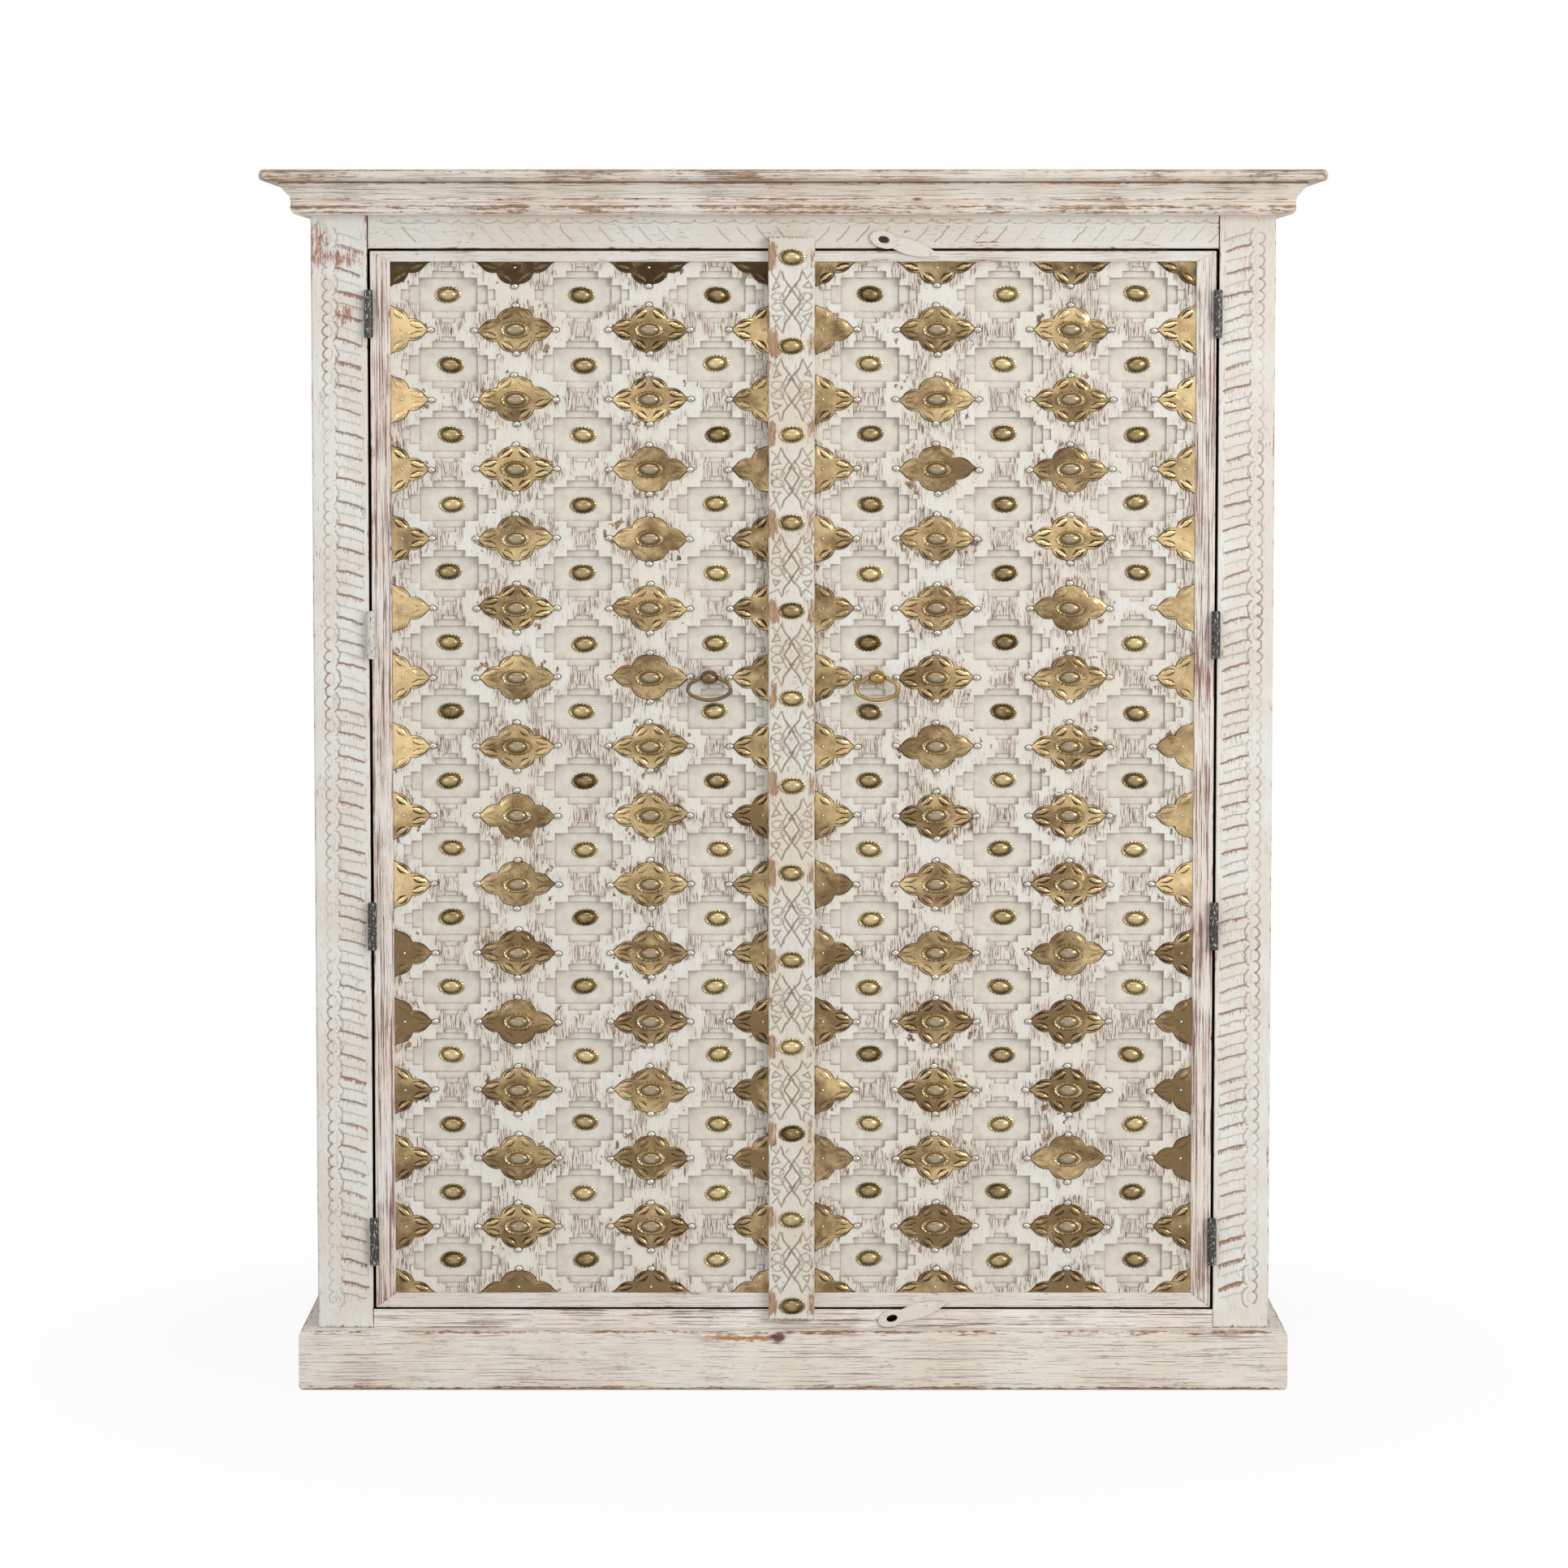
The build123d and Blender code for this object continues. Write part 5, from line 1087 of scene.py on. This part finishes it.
def brass_flowers(word, side):
    """Every flower of one door: the whole ones, and those cut off at the panel's edges."""
    whole = grid(side, PIT_COLUMNS - 1, PIT_ROWS - 1)
    rows = sorted({z for x, z in whole})
    columns = sorted({x for x, z in whole})
    edge_xs = [side * (PANEL_INNER_X + INNER_FLOWER_INSET), side * PANEL_OUTER_X]
    part = [(x, z) for x in edge_xs for z in rows + [PANEL_FOOT, PANEL_HEAD]]
    part += [(x, z) for x in columns for z in (PANEL_FOOT, PANEL_HEAD)]
    inner, outer = sorted((side * (PANEL_INNER_X + 0.3), side * (PANEL_OUTER_X - 0.3)))
    cuts = (
        ((inner, 0, 0), (-1, 0, 0)), ((outer, 0, 0), (1, 0, 0)),
        ((0, 0, PANEL_FOOT + 0.3), (0, 0, -1)), ((0, 0, PANEL_HEAD - 0.3), (0, 0, 1)),
    )
    for places, kind, replaced in ((whole, "whole", [f"{word}_door_flowers"]), (part, "edge", [])):
        cut_off = kind == "edge"
        door = bmesh.new()
        for x, z in places:
            one = bmesh.new()
            tone, grime_and_shade_layer = one.verts.layers.float.new("tone"), one.verts.layers.float.new("grime_and_shade")
            one.from_mesh(FLAT_FLOWER)
            crisp, seed = CHANCE.choice((0.25, 0.5, 0.75, 1.0, 1.1)), CHANCE.uniform(0, 90)
            height, highlight_and_rub, grime_and_shade = beaten(crisp, seed, not cut_off)
            high = (z - PANEL_FOOT) / (PANEL_HEAD - PANEL_FOOT)
            # brighter towards the top of the door and on the outer half flowers of the upper rows: painted
            # reflection of the lamps above; the lower edge flowers darker
            shade = 0.03 + 0.27 * high + CHANCE.uniform(-0.20, 0.30)
            if cut_off:
                shade += 0.4 * (0.35 < high < 0.98 and abs(x) > PANEL_OUTER_X - 1) - 0.12 * (high < 0.35)
            # the half flowers along each door's head are darker, more so on the left door
            head_darkening = (0.55 if side < 0 else 0.25) * (cut_off and high > 0.99)
            for vert, up, bright, darkening in zip(one.verts, height, highlight_and_rub, grime_and_shade):
                vert.co.z = float(up)
                vert[tone] = shade + float(bright)
                vert[grime_and_shade_layer] = float(darkening) + head_darkening
            turn, aside, lift = 0.0, 0.0, 0.0
            if not cut_off:
                turn, aside, lift = (CHANCE.uniform(-far, far) for far in (2.5, 1, 1))
            stand = Matrix.Translation((x + aside, PANEL_FACE, z + lift)) @ UPRIGHT
            tilt = Matrix.Rotation(math.radians(turn), 4, "Z")
            bmesh.ops.transform(one, matrix=stand @ tilt, verts=one.verts)
            for place, out in cuts if cut_off else ():
                parts = [*one.verts, *one.edges, *one.faces]
                bmesh.ops.bisect_plane(one, geom=parts, plane_co=place, plane_no=out, clear_outer=True)
                bmesh.ops.holes_fill(one, edges=[e for e in one.edges if e.is_boundary], sides=0)
            bmesh.ops.recalc_face_normals(one, faces=one.faces)
            sheet = mesh_from(one, "flower")
            door.from_mesh(sheet)
            bpy.data.meshes.remove(sheet)
        keep(door, f"{word}_{kind}_flowers", "sheet", f"{word}_door", replaced, "brass_sheet", sharp=55)
    return whole, rows, columns


# ---------------------------------------------------------------- doors

def beads(turn, radius):
    """Eighteen beads round a boss, on a wavy rim."""
    wave = math.cos(2 * math.pi * turn / 4)
    if radius < 0.8:
        return 1.0, 0.0, 0.0
    out = 1 + 0.05 * wave if radius > 0.95 else 1.0
    return out, (0.7 * wave if 0.85 < radius < 0.95 else 0.0), 0.15 - 0.26 * wave


def teeth(turn, radius):
    """Twenty teeth round a stud."""
    if turn % 2:
        return 1.0, 0.0, -0.1
    return (0.87, 0.0, 0.6) if radius > 0.95 else (1.0, 0.0, 0.1)


BOSS = stamped(
    (
        (0, 0, 0), (1, 0, 0.2), (1, 0.8, 0.0), (0.92, 2.2, 0.0), (0.83, 1.1, 0.15), (0.76, 1.2, 0.45),
        (0.72, 2.2, 0.4), (0, 2.2, 0.4),
    ), *BOSS_HALF, 72, beads,
)
# A boss's dome, pale at its crown as a painted highlight and browner towards its foot
BOSS_CENTRE = stamped(
    (
        (0, 1.8, 0.5), (0.72, 1.8, 0.8), (0.71, 2.8, 0.75), (0.64, 4.4, 0.7), (0.52, 5.6, 0.5),
        (0.36, 6.4, 0.2), (0.18, 6.8, -0.1), (0.1, 6.7, 0.0), (0, 6.6, 0.1),
    ), 18.0, 10.5, 32,
)
STUD = stamped(
    (
        (0, 0, 0), (1, 0, 0.35), (1, 0.9, 0.3), (0.84, 1.5, 0.25), (0.77, 0.9, 0.55), (0.66, 1.3, 0.5),
        (0.60, 2.7, 0.35), (0.50, 3.8, 0.3), (0.40, 4.4, 0.3), (0.30, 4.8, 0.2), (0.16, 5.3, 0.05),
        (0, 5.4, 0.05),
    ), 17.2, 11.0, 40, teeth,
)
# A nail's head, pale on top as a painted highlight and dark at its foot, painted shade with dirt where it
# meets the panel
NAIL = stamped(
    ((0, 0, 1), (1, 0, 0.45), (0.96, 1.2, 0.35), (0.76, 2.6, 0.1), (0.40, 3.5, 0.0), (0, 3.7, 0.1)),
    5.6, 3.8, 12,
)
PIN = stamped(((0, 0, 0.6), (1, 0, 0.6), (0.92, 1.2, 0.3), (0.45, 1.9, 0.0), (0, 2.0, 0.0)), 2.3, 2.0, 8)

for side, word in ((-1, "left"), (1, "right")):
    body = f"{word}_door"
    low, high = node_box(f"{word}_door_outer_stile")
    inner_low, inner_high = node_box(f"{word}_door_inner_stile")
    # Where each side of the door's frame meets its outer edge and the panel
    outer = (side * max(abs(low.x), abs(high.x)), side * PANEL_OUTER_X)
    inner = (side * min(abs(inner_low.x), abs(inner_high.x)), side * PANEL_INNER_X)
    foot, head = (low.z, PANEL_FOOT), (high.z, PANEL_HEAD)
    for member, start, end, finish in (
        ("outer_stile", (outer, foot), (outer, head), "door_upright"),
        ("inner_stile", (inner, foot), (inner, head), "door_upright"),
        ("top_rail", (inner, head), (outer, head), "door_rail"),
        ("bottom_rail", (inner, foot), (outer, foot), "door_rail"),
    ):
        (start_edge, start_panel), (end_edge, end_panel) = zip(*start), zip(*end)
        outline = (start_edge, end_edge, end_panel, start_panel)
        node = f"{word}_door_{member}"
        board(f"{node}_board", outline, low.y, high.y, finish, body, [node], 0.7, 3.0, 0.13)

    whole, rows, columns = brass_flowers(word, side)
    pits = grid(side, PIT_COLUMNS, PIT_ROWS)
    pin_x, pin_z = PIN_INSETS
    pins = [(side * edge, z) for edge in (PANEL_INNER_X + pin_x, PANEL_OUTER_X - pin_x) for z in rows]
    pins += [(x, z) for x in columns for z in (PANEL_FOOT + pin_z, PANEL_HEAD - pin_z)]
    tip_x, tip_z = TIP_NAILS
    ends = ((-tip_x, 0), (tip_x, 0), (0, -tip_z), (0, tip_z))
    nails = [(x + dx, z + dz) for x, z in whole for dx, dz in ends]
    tips = (PANEL_INNER_X + INNER_FLOWER_INSET + tip_x, PANEL_OUTER_X - tip_x)
    nails += [(side * tip, z) for tip in tips for z in rows]
    nails += [(x, z) for x in columns for z in (PANEL_FOOT + tip_z, PANEL_HEAD - tip_z)]
    sheet_y = PANEL_FACE - SHEET_LIFT
    for name, stamping, places, stray, base_y, finish, node, slot, turn, sharp in (
        # the stray is how far a hand set them off their places
        ("pit_studs", STUD, pits, (1.6, 0.9), PANEL_FACE + PIT_DEPTH, "stud", "rosettes", "brass", 9, 45),
        ("flower_bosses_beaded", BOSS, whole, None, sheet_y, "rim", "flower_bosses", "brass", 4, 60),
        ("boss_domes", BOSS_CENTRE, whole, None, sheet_y, "dome", None, "tinned_nails", 4, None),
        ("flower_pins", PIN, pins, None, sheet_y - 0.6, "nail", None, "brass", 0, None),
        ("dome_nails", NAIL, nails, (0.7, 0.5), PANEL_FACE, "nail", "nails", "tinned_nails", 12, None),
    ):
        if stray:
            places = [(x + CHANCE.gauss(0, stray[0]), z + CHANCE.gauss(0, stray[1])) for x, z in places]
        replaced = [f"{word}_door_{node}"] if node else ()
        fasten(f"{word}_{name}", stamping, places, base_y, finish, body, replaced, slot, turn, sharp)

carved_board(
    "astragal_board", ASTRAGAL_LOW, ASTRAGAL_HIGH, 1.15, astragal_carving, "astragal", "right_door",
    ["astragal"], 1.25,
)
studs = [(ASTRAGAL_X + CHANCE.gauss(0, 0.7), z) for z in STUD_ZS]
fasten(
    "astragal_studs", STUD, studs, ASTRAGAL_LOW.y, "stud", "right_door", ["astragal_rosettes"], "brass", 6, 45
)
for node in ("upper_hasp", "lower_hasp"):
    softened(node, f"{node}_plate", "hasp", node, "painted_wood", 14)
for word, finish, slot in (("left", "dark_ring", "antique_bronze"), ("right", "ring", "brass")):
    softened(f"{word}_ring", f"{word}_pull_ring", finish, f"{word}_ring", slot, 3)
    softened(f"{word}_ring_post", f"{word}_pull_post", finish, f"{word}_door", slot, 4)


# ---------------------------------------------------------------- studio and camera

made = bmesh.new()
bmesh.ops.create_grid(made, x_segments=1, y_segments=1, size=9.0)
ground = mesh_from(made, "studio_floor")
ground.materials.append(studio_paper())
studio_floor = placed("studio_floor", ground)

LIT_PLACE = Vector((0.0, 0.0, 0.8))
for name, place, width, height, power, color in (
    ("key_softbox", (3.4, -4.2, 2.3), 2.6, 2.6, 128, "#FFFAF4"),
    ("fill_softbox", (-3.2, -4.6, 1.8), 3.0, 3.0, 30, "#F4F8FF"),
    ("overhead_softbox", (0.2, -2.2, 4.6), 3.0, 2.0, 44, "#FFFFFF"),
):
    light = bpy.data.lights.new(name, "AREA")
    light.shape = "RECTANGLE"
    light.size, light.size_y = width, height
    light.energy = power
    light.color = srgb(color)[:3]
    lamp = placed(name, light)
    lamp.location = place
    lamp.rotation_euler = (LIT_PLACE - Vector(place)).to_track_quat("-Z", "Y").to_euler()

world = bpy.data.worlds.new("white studio")
bpy.context.scene.world = world
world.use_nodes = True
sky = world.node_tree
add = functools.partial(add_node, sky)
shade = add("Mix", {0: straight_sight(add), 6: (0.44, 0.44, 0.44, 1.0), 7: (1.0, 1.0, 1.0, 1.0)}, **MIX)
sky.links.new(shade, sky.nodes["Background"].inputs["Color"])

SENSOR = 36.0
PICTURE_PIXELS = 1932.0
FOCAL_PIXELS = 6485.4
CAMERA_PLACE = (-0.0113, -6.621, 1.2692)
CAMERA_DOWN = 4.594
lens = bpy.data.cameras.new("camera")
lens.sensor_width = SENSOR
lens.lens = SENSOR * FOCAL_PIXELS / PICTURE_PIXELS
lens.clip_end = 60.0
camera = placed("camera", lens)
camera.location = CAMERA_PLACE
camera.rotation_euler = (math.pi / 2 - math.radians(CAMERA_DOWN), 0.0, 0.0)
bpy.context.scene.camera = camera
bpy.context.scene.view_settings.view_transform = "Standard"
